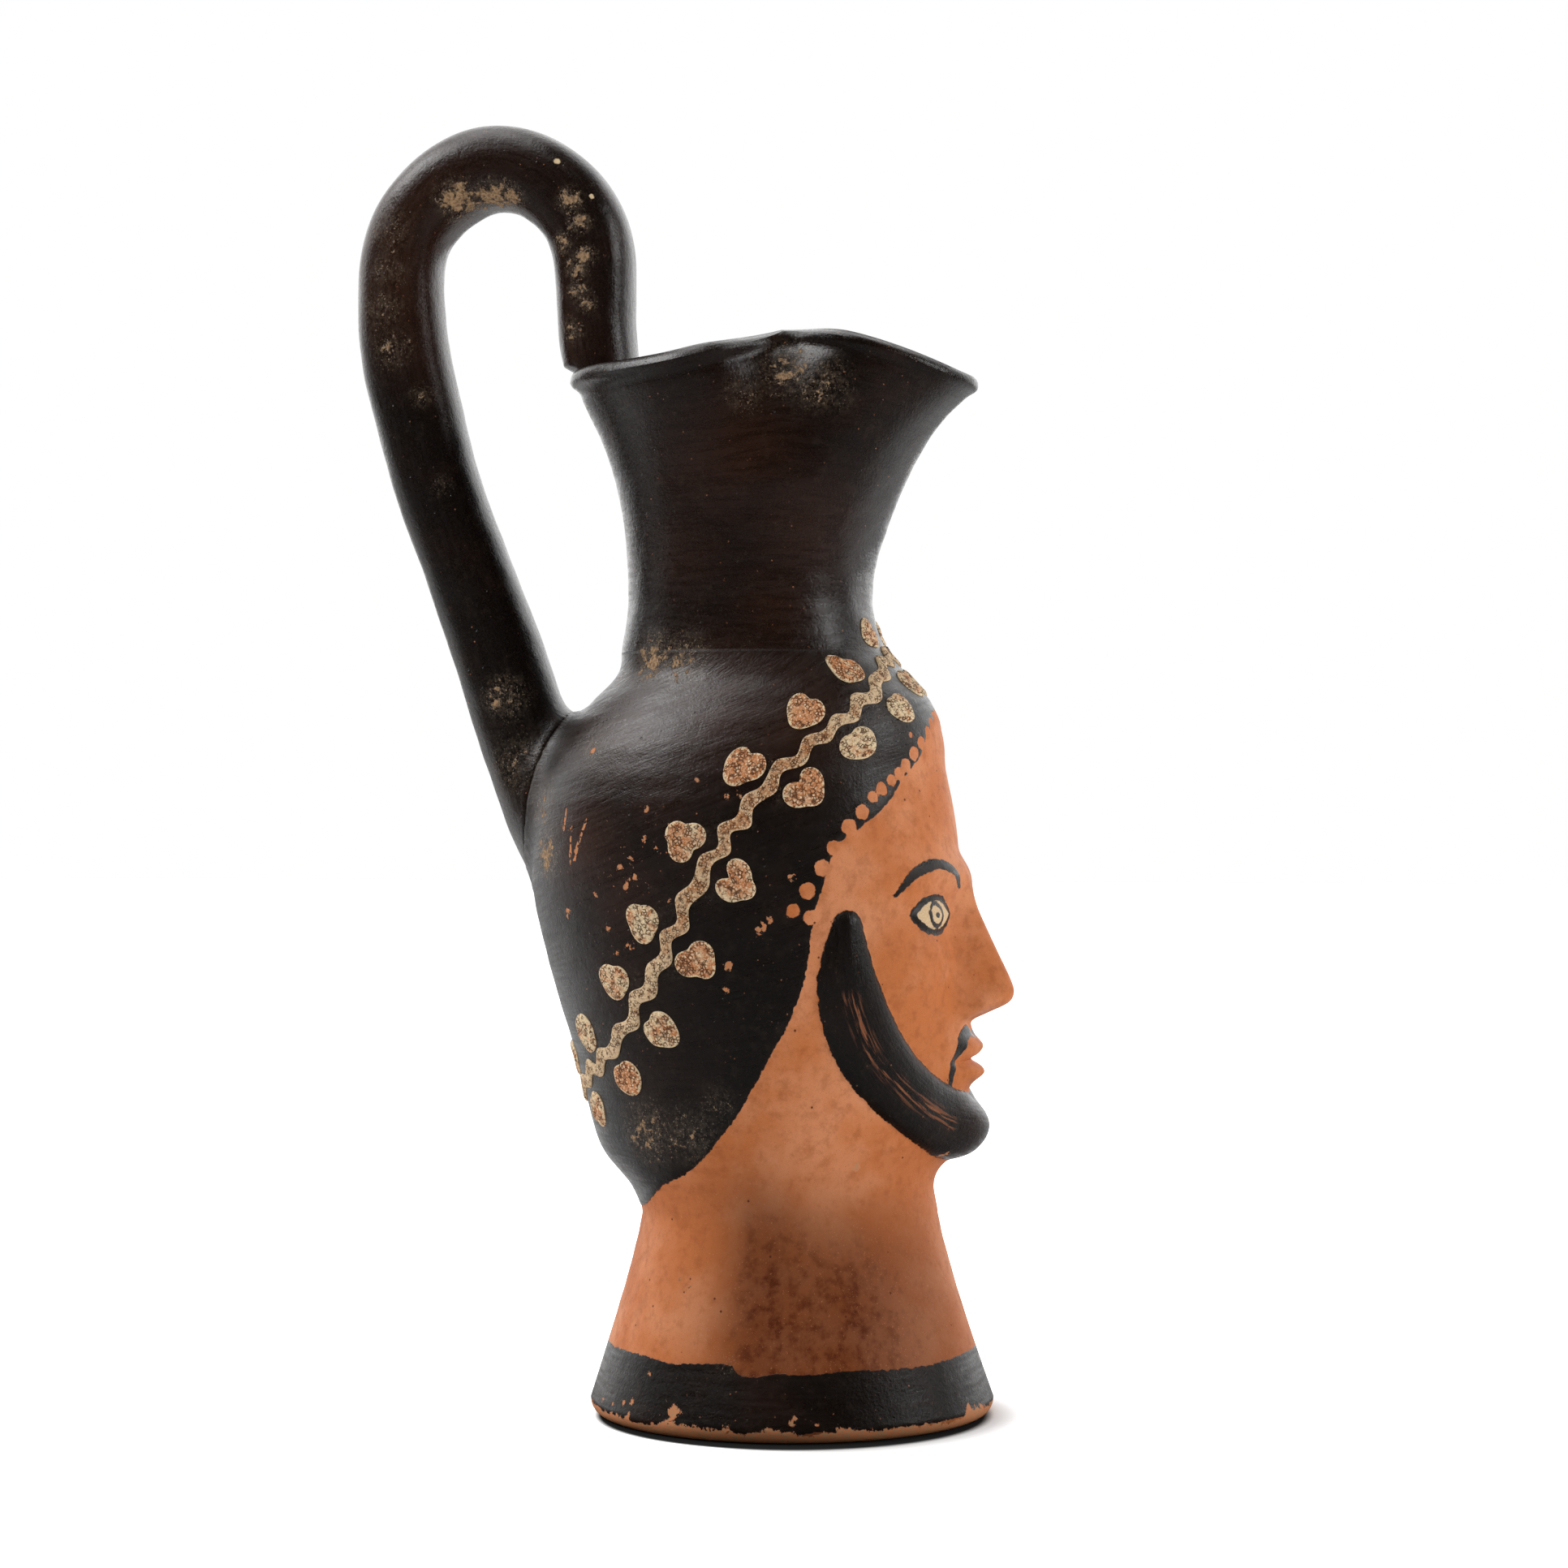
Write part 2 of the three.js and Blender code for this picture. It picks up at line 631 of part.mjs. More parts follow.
// A strip over the vertical seam on one side, between the two ring coils
function seamCoil(hand) {
  const bottom = footCoilHeight + COIL_HALF_WIDTH + 2 * GAP;
  const top = neckCoilHeight - COIL_HALF_WIDTH - 2 * GAP;
  const strip = new THREE.BoxGeometry(2 * COIL_HALF_WIDTH, 1, COIL_THICKNESS, 2, COIL_STEPS, 1);
  return reshaped(welded(strip), (p) => {
    const height = THREE.MathUtils.lerp(bottom, top, p.y + 1 / 2);
    const [front, back, side] = reaches(height);
    const seam = Math.acos((-SEAM_SETBACK - (front - back) / 2) / ((front + back) / 2));
    const edge = Math.abs(p.x) / COIL_HALF_WIDTH;
    const depth = (p.z + COIL_THICKNESS / 2) * (1 - edge / 2);
    return place(hand * seam - p.x / side, height, WALL + GAP + depth);
  });
}

// Wreath

const wreathLine = curveThrough(wreathShares);
const wreathHeight = (share) => THREE.MathUtils.lerp(WREATH_BOTTOM, WREATH_TOP, share);

// Length of the skin for a turn of one radian and for a rise of one millimetre, and the stem's slope
function wreathFrame(turn, height) {
  const step = SOLVER_STEP;
  const [here] = wreathLine(turn);
  const [next] = wreathLine(turn + step);
  const round = bareSkin(turn * Math.PI + step, height).distanceTo(bareSkin(turn * Math.PI, height));
  const up = bareSkin(turn * Math.PI, height + step).distanceTo(bareSkin(turn * Math.PI, height));
  const climb = (wreathHeight(next) - wreathHeight(here)) * (up / step);
  return { round: round / step, up: up / step, slope: Math.atan2(climb, Math.PI * round) };
}

// Middle line of the wreath over the skin, from the middle of the forehead to the nape
class WreathCurve extends THREE.Curve {
  getPoint(turn) {
    return bareSkin(turn * Math.PI, wreathHeight(wreathLine(turn)[0]));
  }
}
const wreathCurve = new WreathCurve();

// One stem: a bar that waves evenly along the wreath's line
function ivyStem(hand) {
  const bar = new THREE.BoxGeometry(1, STEM_WIDTH, SLIP_THICKNESS, STEM_STEPS, 1, 1);
  return reshaped(welded(bar), (p) => {
    const centreGap = GAP / (WAIST_FRONT * Math.PI);
    const share = p.x + 1 / 2;
    const turn = THREE.MathUtils.clamp(wreathCurve.getUtoTmapping(share), centreGap, 1 - centreGap);
    const height = wreathHeight(wreathLine(turn)[0]);
    const frame = wreathFrame(turn, height);
    const waves = (share * wreathCurve.getLength()) / STEM_PITCH;
    const across = p.y + STEM_WAVE * Math.sin(2 * Math.PI * waves);
    const angle = turn * Math.PI - (across * Math.sin(frame.slope)) / frame.round;
    const lifted = height + (across * Math.cos(frame.slope)) / frame.up;
    return place(hand * angle, lifted, -GAP - SLIP_THICKNESS / 2 - hand * p.z);
  });
}

// Outline of a leaf, with its notch below and its tip above
function leafOutline() {
  const half = LEAF_WIDTH / 2;
  const outline = new THREE.Shape();
  outline.moveTo(0, LEAF_LENGTH / 2);
  outline.quadraticCurveTo(half, LEAF_LENGTH / 4, half, -LEAF_LENGTH / 4);
  outline.quadraticCurveTo(half / 2, -LEAF_LENGTH * 0.6, 0, -LEAF_LENGTH / 4);
  outline.quadraticCurveTo(-half / 2, -LEAF_LENGTH * 0.6, -half, -LEAF_LENGTH / 4);
  outline.quadraticCurveTo(-half, LEAF_LENGTH / 4, 0, LEAF_LENGTH / 2);
  return outline;
}

// One leaf, bedded on the skin above or below the stem: a lower leaf has its notch toward the stem,
// an upper one is turned round so that its tip leans to the nape
function ivyLeaf(hand, outward, turn) {
  const height = wreathHeight(wreathLine(turn)[0]);
  const frame = wreathFrame(turn, height);
  const lean = frame.slope + (outward > 0 ? 0 : Math.PI);
  const spin = outward > 0 ? THREE.MathUtils.degToRad(UPPER_LEAF_DEGREES) : 0;
  const pat = new THREE.ExtrudeGeometry(leafOutline(), {
    depth: SLIP_THICKNESS,
    bevelEnabled: false,
    curveSegments: LEAF_CURVE_STEPS,
  });
  return reshaped(welded(pat), (p) => {
    const middle = new THREE.Vector2();
    const spot = new THREE.Vector2(hand * p.x, p.y).rotateAround(middle, spin);
    spot.add(new THREE.Vector2(0, LEAF_OFFSET)).rotateAround(middle, lean);
    const angle = turn * Math.PI + spot.x / frame.round;
    return place(hand * angle, height + spot.y / frame.up, -GAP - p.z);
  });
}

// The vase

const vase = new THREE.Group();

function add(name, geometry, material) {
  const mesh = new THREE.Mesh(geometry, material);
  mesh.name = name;
  vase.add(mesh);
}

add("foot_pedestal", footPedestal(), bareClay);
add("floor_disc", floorDisc(), bareClay);
add("face_mould", faceMould(), bareClay);
add("back_mould", backMould(), blackGloss);
add("spout_neck", spoutNeck(), blackGloss);
add("handle", handle(), blackGloss);
add("foot_coil", ringCoil(footCoilHeight), bareClay);
add("neck_coil", ringCoil(neckCoilHeight), bareClay);

for (const [side, hand] of [
  ["right", -1],
  ["left", 1],
]) {
  add(`seam_coil_${side}`, seamCoil(hand), bareClay);
  add(`ivy_stem_${side}`, ivyStem(hand), creamSlip);
  upperLeafShares.forEach((spot, i) =>
    add(`ivy_leaf_${side}_upper_${i + 1}`, ivyLeaf(hand, 1, spot), creamSlip),
  );
  lowerLeafShares.forEach((spot, i) =>
    add(`ivy_leaf_${side}_lower_${i + 1}`, ivyLeaf(hand, -1, spot), creamSlip),
  );
}

export default vase;
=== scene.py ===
"""Looks of a one-handled clay jug in the form of a bearded head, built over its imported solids.

Sizes are in millimetres and become metres only when a mesh is finished. The face looks along -Y, the
handle is on +Y, and the figure's left is +X. A place on the skin has an angle (0 in front, positive to
the figure's left, in radians), a height, and an inset: how deep it lies in the wall.
"""

import logging
import math
from collections.abc import Callable, Sequence
from dataclasses import dataclass, field
from enum import Enum

import bmesh
import bpy
import numpy as np
from mathutils import Matrix, Vector


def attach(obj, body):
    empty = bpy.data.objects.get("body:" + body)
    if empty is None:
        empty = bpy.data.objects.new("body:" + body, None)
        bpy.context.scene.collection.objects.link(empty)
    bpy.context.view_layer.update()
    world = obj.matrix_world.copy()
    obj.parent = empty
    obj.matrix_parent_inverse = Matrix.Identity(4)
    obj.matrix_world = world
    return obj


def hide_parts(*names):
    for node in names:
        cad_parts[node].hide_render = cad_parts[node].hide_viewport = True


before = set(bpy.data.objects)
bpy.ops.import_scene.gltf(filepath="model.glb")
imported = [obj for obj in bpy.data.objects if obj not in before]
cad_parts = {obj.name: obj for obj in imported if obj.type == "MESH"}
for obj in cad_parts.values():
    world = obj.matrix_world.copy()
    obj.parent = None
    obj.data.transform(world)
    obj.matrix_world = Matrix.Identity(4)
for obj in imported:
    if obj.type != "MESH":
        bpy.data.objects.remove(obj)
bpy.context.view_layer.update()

MM = 0.001
TINY = 1e-6
FAR_OUT = -9.0

Array = np.ndarray
Colour = tuple[float, float, float, float]
Row = tuple[float, ...]
Table = tuple[Row, ...]
Value = "float | Colour | Mark"
Inputs = dict[str | int, Value]

logging.basicConfig(level=logging.INFO, format="%(message)s")
log = logging.getLogger("vase")


class Slot(Enum):
    """Material slots of the record that a piece takes its finish from."""

    GLOSS = "black_gloss"
    PAINTED = "painted_clay"
    CLAY = "bare_clay"
    CREAM = "cream_slip"


class Side(Enum):
    """The figure's two sides, with the sign of X."""

    RIGHT = -1
    LEFT = 1


class Level(Enum):
    """The two rows of leaves, with the way from the stem."""

    UPPER = 1
    LOWER = -1


# ---- curves and shared sums


def smooth(value: Array) -> Array:
    """Eases a value from 0 to 1 with level ends."""
    value = np.clip(value, 0, 1)
    return value * value * (3 - 2 * value)


def span(value: Array, low: float, high: float) -> Array:
    """Eases from 0 at low to 1 at high."""
    return smooth((value - low) / (high - low))


def mix(start: Array, end: Array, share: Array) -> Array:
    """Value between start and end at a share of the way."""
    return start + (end - start) * share


def waves(seed: int, count: int, *axes: Array) -> Array:
    """Soft handmade unevenness: a sum of seeded waves over the given axes, about -1 to 1.

    Args:
        seed: Seed of the draws.
        count: Number of waves.
        axes: Places along each axis.

    Returns:
        One value for each place.
    """
    dice = np.random.default_rng(seed)
    total = 0
    for _ in range(count):
        phase = dice.uniform(0, 2 * math.pi)
        pitch = [dice.uniform(-1, 1) for _ in axes]
        total = total + np.sin(phase + sum(p * a for p, a in zip(pitch, axes)))
    return total / math.sqrt(count)


class Curve:
    """A smooth curve through rows of (place, value, value, ...)."""

    def __init__(self, rows: Sequence[Row], level_ends: bool = True) -> None:
        """Prepares the slopes.

        Args:
            rows: Places in rising order, each with its values.
            level_ends: Whether the curve is level at both ends.
        """
        table = np.array(rows, float)
        self.places = table[:, 0]
        self.values = table[:, 1:]
        secants = np.diff(self.values, axis=0) / np.diff(self.places)[:, None]
        end = 0.0 if level_ends else 1.0
        inner = (secants[:-1] + secants[1:]) / 2
        self.slopes = np.vstack([secants[:1] * end, inner, secants[-1:] * end])

    def __call__(self, place: Array) -> Array:
        """Values at places.

        Args:
            place: Places of any shape, held to the curve's own range.

        Returns:
            An array of that shape with one more axis for the values.
        """
        place = np.clip(np.asarray(place, float), self.places[0], self.places[-1])
        i = np.clip(np.searchsorted(self.places, place, side="right") - 1, 0, len(self.places) - 2)
        width = (self.places[i + 1] - self.places[i])[..., None]
        t = (place - self.places[i])[..., None] / width
        a, b = self.values[i], self.values[i + 1]
        rise = (self.slopes[i] * (t**3 - 2 * t**2 + t) + self.slopes[i + 1] * (t**3 - t**2)) * width
        return a + (b - a) * (3 * t**2 - 2 * t**3) + rise


def path_depth(x: Array, z: Array, rows: Sequence[Row], closeness: int = 12) -> Array:
    """Signed depth inside a brush stroke.

    Args:
        x: Places across.
        z: Places up.
        rows: Points of the stroke's middle line, each (across, up, half width).
        closeness: Steps between two points.

    Returns:
        Millimetres inside the stroke's edge, negative outside.
    """
    line = Curve([(i, *row) for i, row in enumerate(rows)], level_ends=False)
    points = line(np.linspace(0, len(rows) - 1, (len(rows) - 1) * closeness + 1))
    depth = np.full(np.shape(x), -math.inf)
    for across, up, half in points:
        depth = np.maximum(depth, half - np.hypot(x - across, z - up))
    return depth


def ball_depth(points: Array, balls: Sequence[tuple], start: float | Array = FAR_OUT) -> Array:
    """Depth of points inside the nearest of some balls, each (centre, radius), and at least the start.

    Args:
        points: Points in millimetres.
        balls: The balls.
        start: The least depth.

    Returns:
        One depth for each point.
    """
    depth = np.zeros(len(points)) + start
    for centre, radius in balls:
        depth = np.maximum(depth, radius - np.linalg.norm(points - centre, axis=1))
    return depth


def spot_share(points: Array, spots: Sequence[tuple]) -> Array:
    """Strongest of some soft spots at points, each spot (centre, radius, strength).

    Args:
        points: Points in millimetres.
        spots: The spots.

    Returns:
        One share for each point.
    """
    share = np.zeros(len(points))
    for centre, radius, strength in spots:
        away = np.linalg.norm(points - centre, axis=1) / radius
        share = np.maximum(share, strength * np.exp(-(away**2)))
    return share


def travelled(line: Array, power: float = 1) -> Array:
    """Way along a line to each of its points, with each step raised to a power."""
    return np.concatenate([[0], np.cumsum(np.linalg.norm(np.diff(line, axis=0), axis=1) ** power)])


def unit(vectors: Array) -> Array:
    """Vectors brought to a length of 1."""
    return vectors / np.maximum(np.linalg.norm(vectors, axis=-1, keepdims=True), TINY)


# ---- the skin


@dataclass(frozen=True)
class SkinSizes:
    """Driving sizes of the vase's skin."""

    wall: float = 4
    lip_wall: float = 3
    foot_radius: float = 32.2
    foot_edge_height: float = 2.2
    foot_edge_round: float = 1.8
    throat_height: float = 31.5
    throat_radius: float = 23.7
    throat_setback: float = 0.4
    foot_flare_power: float = 1.15
    foot_joint_height: float = 34
    foot_band_height: float = 10.7
    skull_front: float = 27.4
    skull_back: float = 42.3
    skull_half_width: float = 30
    crown_joint_height: float = 121
    waist_height: float = 131
    waist_front: float = 12.7
    waist_back: float = 26.3
    waist_half_width: float = 19.2
    lip_height: float = 166
    lip_front: float = 30.6
    lip_back: float = 36.4
    lip_half_width: float = 26
    front_flare_power: float = 1.6
    back_flare_power: float = 2.3
    side_flare_power: float = 2
    pinch_ahead: float = 0.5
    pinch_width: float = 7.5
    pinch_start_height: float = 146
    pinch_power: float = 1.5
    pinch_depth_share: float = 0.42
    spout_narrowing_share: float = 0.26
    spout_blend: float = 3
    lip_lift_start_height: float = 142
    lip_peak_rise: float = 5.7
    spout_drop: float = 8.8
    spout_drop_power: float = 1.8
    back_drop: float = 6.4
    back_drop_power: float = 3
    chin_height: float = 42
    jaw_taper_share: float = 0.3
    jaw_length: float = 34
    solver_step: float = 0.01
    unevenness: float = 0.16
    wave_radius: float = 30
    fine_wave_share: float = 0.22
    turned_wave_share: float = 0.18


# Head outline: height from throat to waist, then reach to the front, to the back and to the side
HEAD_SHARES: Table = (
    (0.045, 0.83, 0.605, 0.807), (0.07, 0.847, 0.652, 0.833), (0.095, 0.898, 0.704, 0.867),
    (0.126, 0.956, 0.74, 0.9), (0.186, 0.993, 0.78, 0.943), (0.252, 1.0, 0.823, 0.967),
    (0.383, 1.0, 0.913, 0.993), (0.514, 0.982, 0.983, 1.0), (0.638, 0.92, 1.0, 0.993),
    (0.709, 0.883, 0.957, 0.953), (0.769, 0.876, 0.875, 0.887), (0.819, 0.81, 0.762, 0.8),
    (0.869, 0.65, 0.655, 0.7), (0.905, 0.544, 0.645, 0.663), (0.96, 0.471, 0.624, 0.643),
)


class Skin:
    """The vase's continuous outer surface, which every piece lies on."""

    def __init__(self, sizes: SkinSizes, face: "Face") -> None:
        """Keeps the sizes and the face that is raised on the skin.

        Args:
            sizes: Driving sizes of the skin.
            face: The face.
        """
        self.sizes = sizes
        self.face = face
        s = sizes
        rise = s.waist_height - s.throat_height
        first = (s.throat_height, s.throat_radius - s.throat_setback, s.throat_radius + s.throat_setback)
        rows = [
            (s.throat_height + h * rise, f * s.skull_front, b * s.skull_back, w * s.skull_half_width)
            for h, f, b, w in HEAD_SHARES
        ]
        last = (s.waist_height, s.waist_front, s.waist_back, s.waist_half_width)
        self.head = Curve([(*first, s.throat_radius), *rows, last])

    def reaches(self, height: Array) -> tuple[Array, Array, Array]:
        """How far the skin reaches to the front, to the back and to the side at a height.

        Args:
            height: Heights before the lip's lift.

        Returns:
            Three reaches for each height.
        """
        s = self.sizes
        height = np.asarray(height, float)
        low = np.clip((s.throat_height - height) / (s.throat_height - s.foot_edge_height), 0, 1)
        flare = low**s.foot_flare_power
        radius = mix(s.throat_radius, s.foot_radius, flare)
        setback = s.throat_setback * (1 - flare)
        foot = (radius - setback, radius + setback, radius)
        head = self.head(height)
        high = np.maximum(height - s.waist_height, 0) / (s.lip_height - s.waist_height)
        neck = (
            mix(s.waist_front, s.lip_front, high**s.front_flare_power),
            mix(s.waist_back, s.lip_back, high**s.back_flare_power),
            mix(s.waist_half_width, s.lip_half_width, high**s.side_flare_power),
        )
        below, above = height < s.throat_height, height >= s.waist_height
        return tuple(
            np.where(below, foot[i], np.where(above, neck[i], head[..., i])) for i in range(3)
        )

    def lip_lift(self, forward: Array) -> Array:
        """How far the lip's edge lies above its stated height at a distance to the front.

        Args:
            forward: Distances to the front.

        Returns:
            Lifts in millimetres.
        """
        s = self.sizes
        ahead = forward - s.pinch_ahead
        share = np.maximum(ahead, 0) / (s.lip_front - s.pinch_ahead)
        front = s.lip_peak_rise - s.spout_drop * share**s.spout_drop_power
        share = np.clip(-ahead / (s.lip_back + s.pinch_ahead), 0, 1)
        back = s.lip_peak_rise - s.back_drop * (1 - (1 - share) ** s.back_drop_power)
        return np.where(ahead > 0, front, back)

    def bare(self, angle: Array, height: Array) -> Array:
        """Points of the skin before the face is raised on it.

        Args:
            angle: Angles round the axis.
            height: Heights before the lip's lift.

        Returns:
            Points in millimetres.
        """
        s = self.sizes
        front, back, side = self.reaches(height)
        forward = (front - back) / 2 + (front + back) / 2 * np.cos(angle)
        risen = (height - s.pinch_start_height) / (s.lip_height - s.pinch_start_height)
        pinch = np.clip(risen, 0, 1) ** s.pinch_power
        crease = np.exp(-(((forward - s.pinch_ahead) / s.pinch_width) ** 2))
        spout = 1 / (1 + np.exp(-(forward - s.pinch_ahead) / s.spout_blend))
        chin = smooth((height - s.throat_height) / (s.chin_height - s.throat_height))
        jaw = chin * (1 - smooth((height - s.chin_height) / s.jaw_length))
        jaw = jaw * np.clip(np.cos(angle), 0, 1) ** 2
        narrowing = (
            (1 - s.pinch_depth_share * pinch * crease)
            * (1 - s.spout_narrowing_share * pinch * spout)
            * (1 - s.jaw_taper_share * jaw)
        )
        lift = span(height, s.lip_lift_start_height, s.lip_height)
        up = height + self.lip_lift(forward) * lift
        return np.stack([side * np.sin(angle) * narrowing, -forward, up], axis=-1)

    def way_out(self, angle: Array, height: Array) -> Array:
        """The way out of the wall, level at the foot so that its underside stays flat.

        Args:
            angle: Angles round the axis.
            height: Heights before the lip's lift.

        Returns:
            Directions with a length of 1.
        """
        s = self.sizes
        step = s.solver_step
        around = self.bare(angle + step, height) - self.bare(angle - step, height)
        up = self.bare(angle, height + step) - self.bare(angle, np.maximum(height - step, 0))
        normal = np.cross(around, up)
        normal[..., 2] *= span(height, s.foot_band_height, s.throat_height)
        return unit(normal)

    def wobble(self, angle: Array, height: Array) -> Array:
        """Handmade unevenness of the wall, none at the foot's edge.

        Args:
            angle: Angles round the axis.
            height: Heights before the lip's lift.

        Returns:
            Rises in millimetres.
        """
        s = self.sizes
        x, y = s.wave_radius * np.sin(angle), s.wave_radius * np.cos(angle)
        soft = waves(3, 9, x * 0.22, y * 0.22, height * 0.2)
        fine = waves(8, 14, x * 0.75, y * 0.75, height * 0.9)
        turned = waves(5, 5, height * 1.5, x * 0.03, y * 0.03)
        fade = span(height, s.foot_edge_height, s.throat_height)
        return s.unevenness * fade * (soft - 1 + s.fine_wave_share * fine + s.turned_wave_share * turned)

    def place(self, angle: Array, height: Array, inset: Array = 0.0, rise: Array = 0.0) -> Array:
        """Places in or on the wall.

        Args:
            angle: Angles round the axis.
            height: Heights before the lip's lift.
            inset: Depths in the wall, negative outside.
            rise: What a piece adds to the outer surface, fading through the wall.

        Returns:
            Points in millimetres.
        """
        raised = self.face.relief(angle, height) + self.wobble(angle, height) + rise
        depth = raised * np.clip(1 - np.asarray(inset) / self.sizes.wall, 0, 1) - inset
        return self.bare(angle, height) + self.way_out(angle, height) * np.asarray(depth)[..., None]

    def outside(self, points: Array) -> Array:
        """Distance of points outside the bare skin, negative inside it.

        Args:
            points: Points in millimetres.

        Returns:
            One distance for each point.
        """
        front, back, side = self.reaches(points[:, 2])
        step = self.sizes.solver_step
        slope = (self.reaches(points[:, 2] + step)[1] - back) / step
        reach = (front + back) / 2
        u = (-points[:, 1] - (front - back) / 2) / reach
        v = points[:, 0] / side
        radius = np.maximum(np.hypot(u, v), TINY)
        gradient = np.hypot(u / reach, v / side) / radius
        return (radius - 1) / gradient / np.sqrt(1 + slope**2)


# ---- the face


@dataclass(frozen=True)
class FaceSizes:
    """Driving sizes of the raised and painted face."""

    chin_height: float = 42
    length: float = 63
    half_width: float = 27
    skull_half_width: float = 30
    nose_rise: float = 8.2
    nose_half_width: float = 5.6
    nose_roundness: float = 2.3
    beard_rise: float = 1.5
    beard_half_width: float = 6
    beard_powers: tuple[float, float] = (2.6, 0.7)
    grain_steps: int = 60
    grain_scales: tuple[float, float] = (2.2, 0.16)
    eye_across: float = 11.4
    eye_height: float = 79.6
    eye_half_length: float = 5.2
    eye_half_height: float = 2.7
    eye_bulge: float = 0.5
    lid_half_width: float = 0.5
    iris_radius: float = 1.75
    iris_line: float = 0.33
    pupil_radius: float = 0.55
    hair_rise: float = 0.12
    reach_up_share: float = 1.2
    reach_down_share: float = 0.25
    streak_half_width_share: float = 0.34
    streak_shift: float = 0.6
    streak_fade: float = 1.6


# Soft forms of the face: side, height, half width, half height, rise
FACE_FORM_SHARES: Table = (
    (0, 0.84, 0.6, 0.16, 0.12), (0.28, 0.69, 0.28, 0.042, 0.15), (0.41, 0.6, 0.2, 0.052, -0.22),
    (0.42, 0.597, 0.14, 0.032, 0.17), (0.58, 0.45, 0.22, 0.1, 0.14), (0, 0.24, 0.42, 0.11, 0.3),
    (0, 0.262, 0.27, 0.02, 0.15), (0, 0.2265, 0.25, 0.0095, -0.15), (0, 0.195, 0.22, 0.021, 0.2),
    (0, 0.14, 0.2, 0.03, -0.1), (0, 0.06, 0.36, 0.07, 0.42),
)

# Finer forms that only the looks carry: nostril wings, nostrils, groove over the lip, mouth corners, lids
FINE_FORM_SHARES: Table = (
    (0.19, 0.362, 0.065, 0.028, 0.14), (0.1, 0.334, 0.04, 0.012, -0.12), (0, 0.3, 0.045, 0.022, -0.04),
    (0.27, 0.228, 0.05, 0.02, -0.05), (0.42, 0.652, 0.2, 0.012, 0.05),
)

# The nose from its base up to its root: height of the face, rise, half width
NOSE_SHARES: Table = (
    (0.3, 0, 0.9), (0.325, 0.08, 0.98), (0.345, 0.42, 1.02), (0.37, 0.86, 1), (0.395, 1, 0.92),
    (0.43, 0.95, 0.82), (0.5, 0.71, 0.68), (0.58, 0.43, 0.58), (0.65, 0.24, 0.6), (0.71, 0.1, 0.75),
    (0.76, 0, 1),
)

# Middle line of the beard: angle as a share of a half turn, height of the face, half width
BEARD_SHARES: Table = (
    (0.308, 0.58, 0.36), (0.314, 0.5, 0.6), (0.312, 0.4, 0.84), (0.285, 0.27, 1), (0.22, 0.16, 0.95),
    (0.12, 0.085, 0.9), (0, 0.06, 0.85),
)

# Painted strokes of the face, each (across, up, half width)
BROW: Table = (
    (4.6, 83.6, 0.35), (7.4, 86.2, 0.75), (11.6, 87.4, 0.85), (16, 86, 0.8), (19.2, 82.8, 0.3),
)
MOUSTACHE: Table = (
    (1.0, 60.4, 0.6), (4.2, 60.9, 1.0), (7.4, 58.8, 0.95), (9.4, 55, 0.7), (10.2, 50.6, 0.3),
)
LIP_PATCH: Table = (
    (-2.2, 50.2, 0.7), (0, 49.9, 1.15), (2.2, 50.2, 0.7),
)


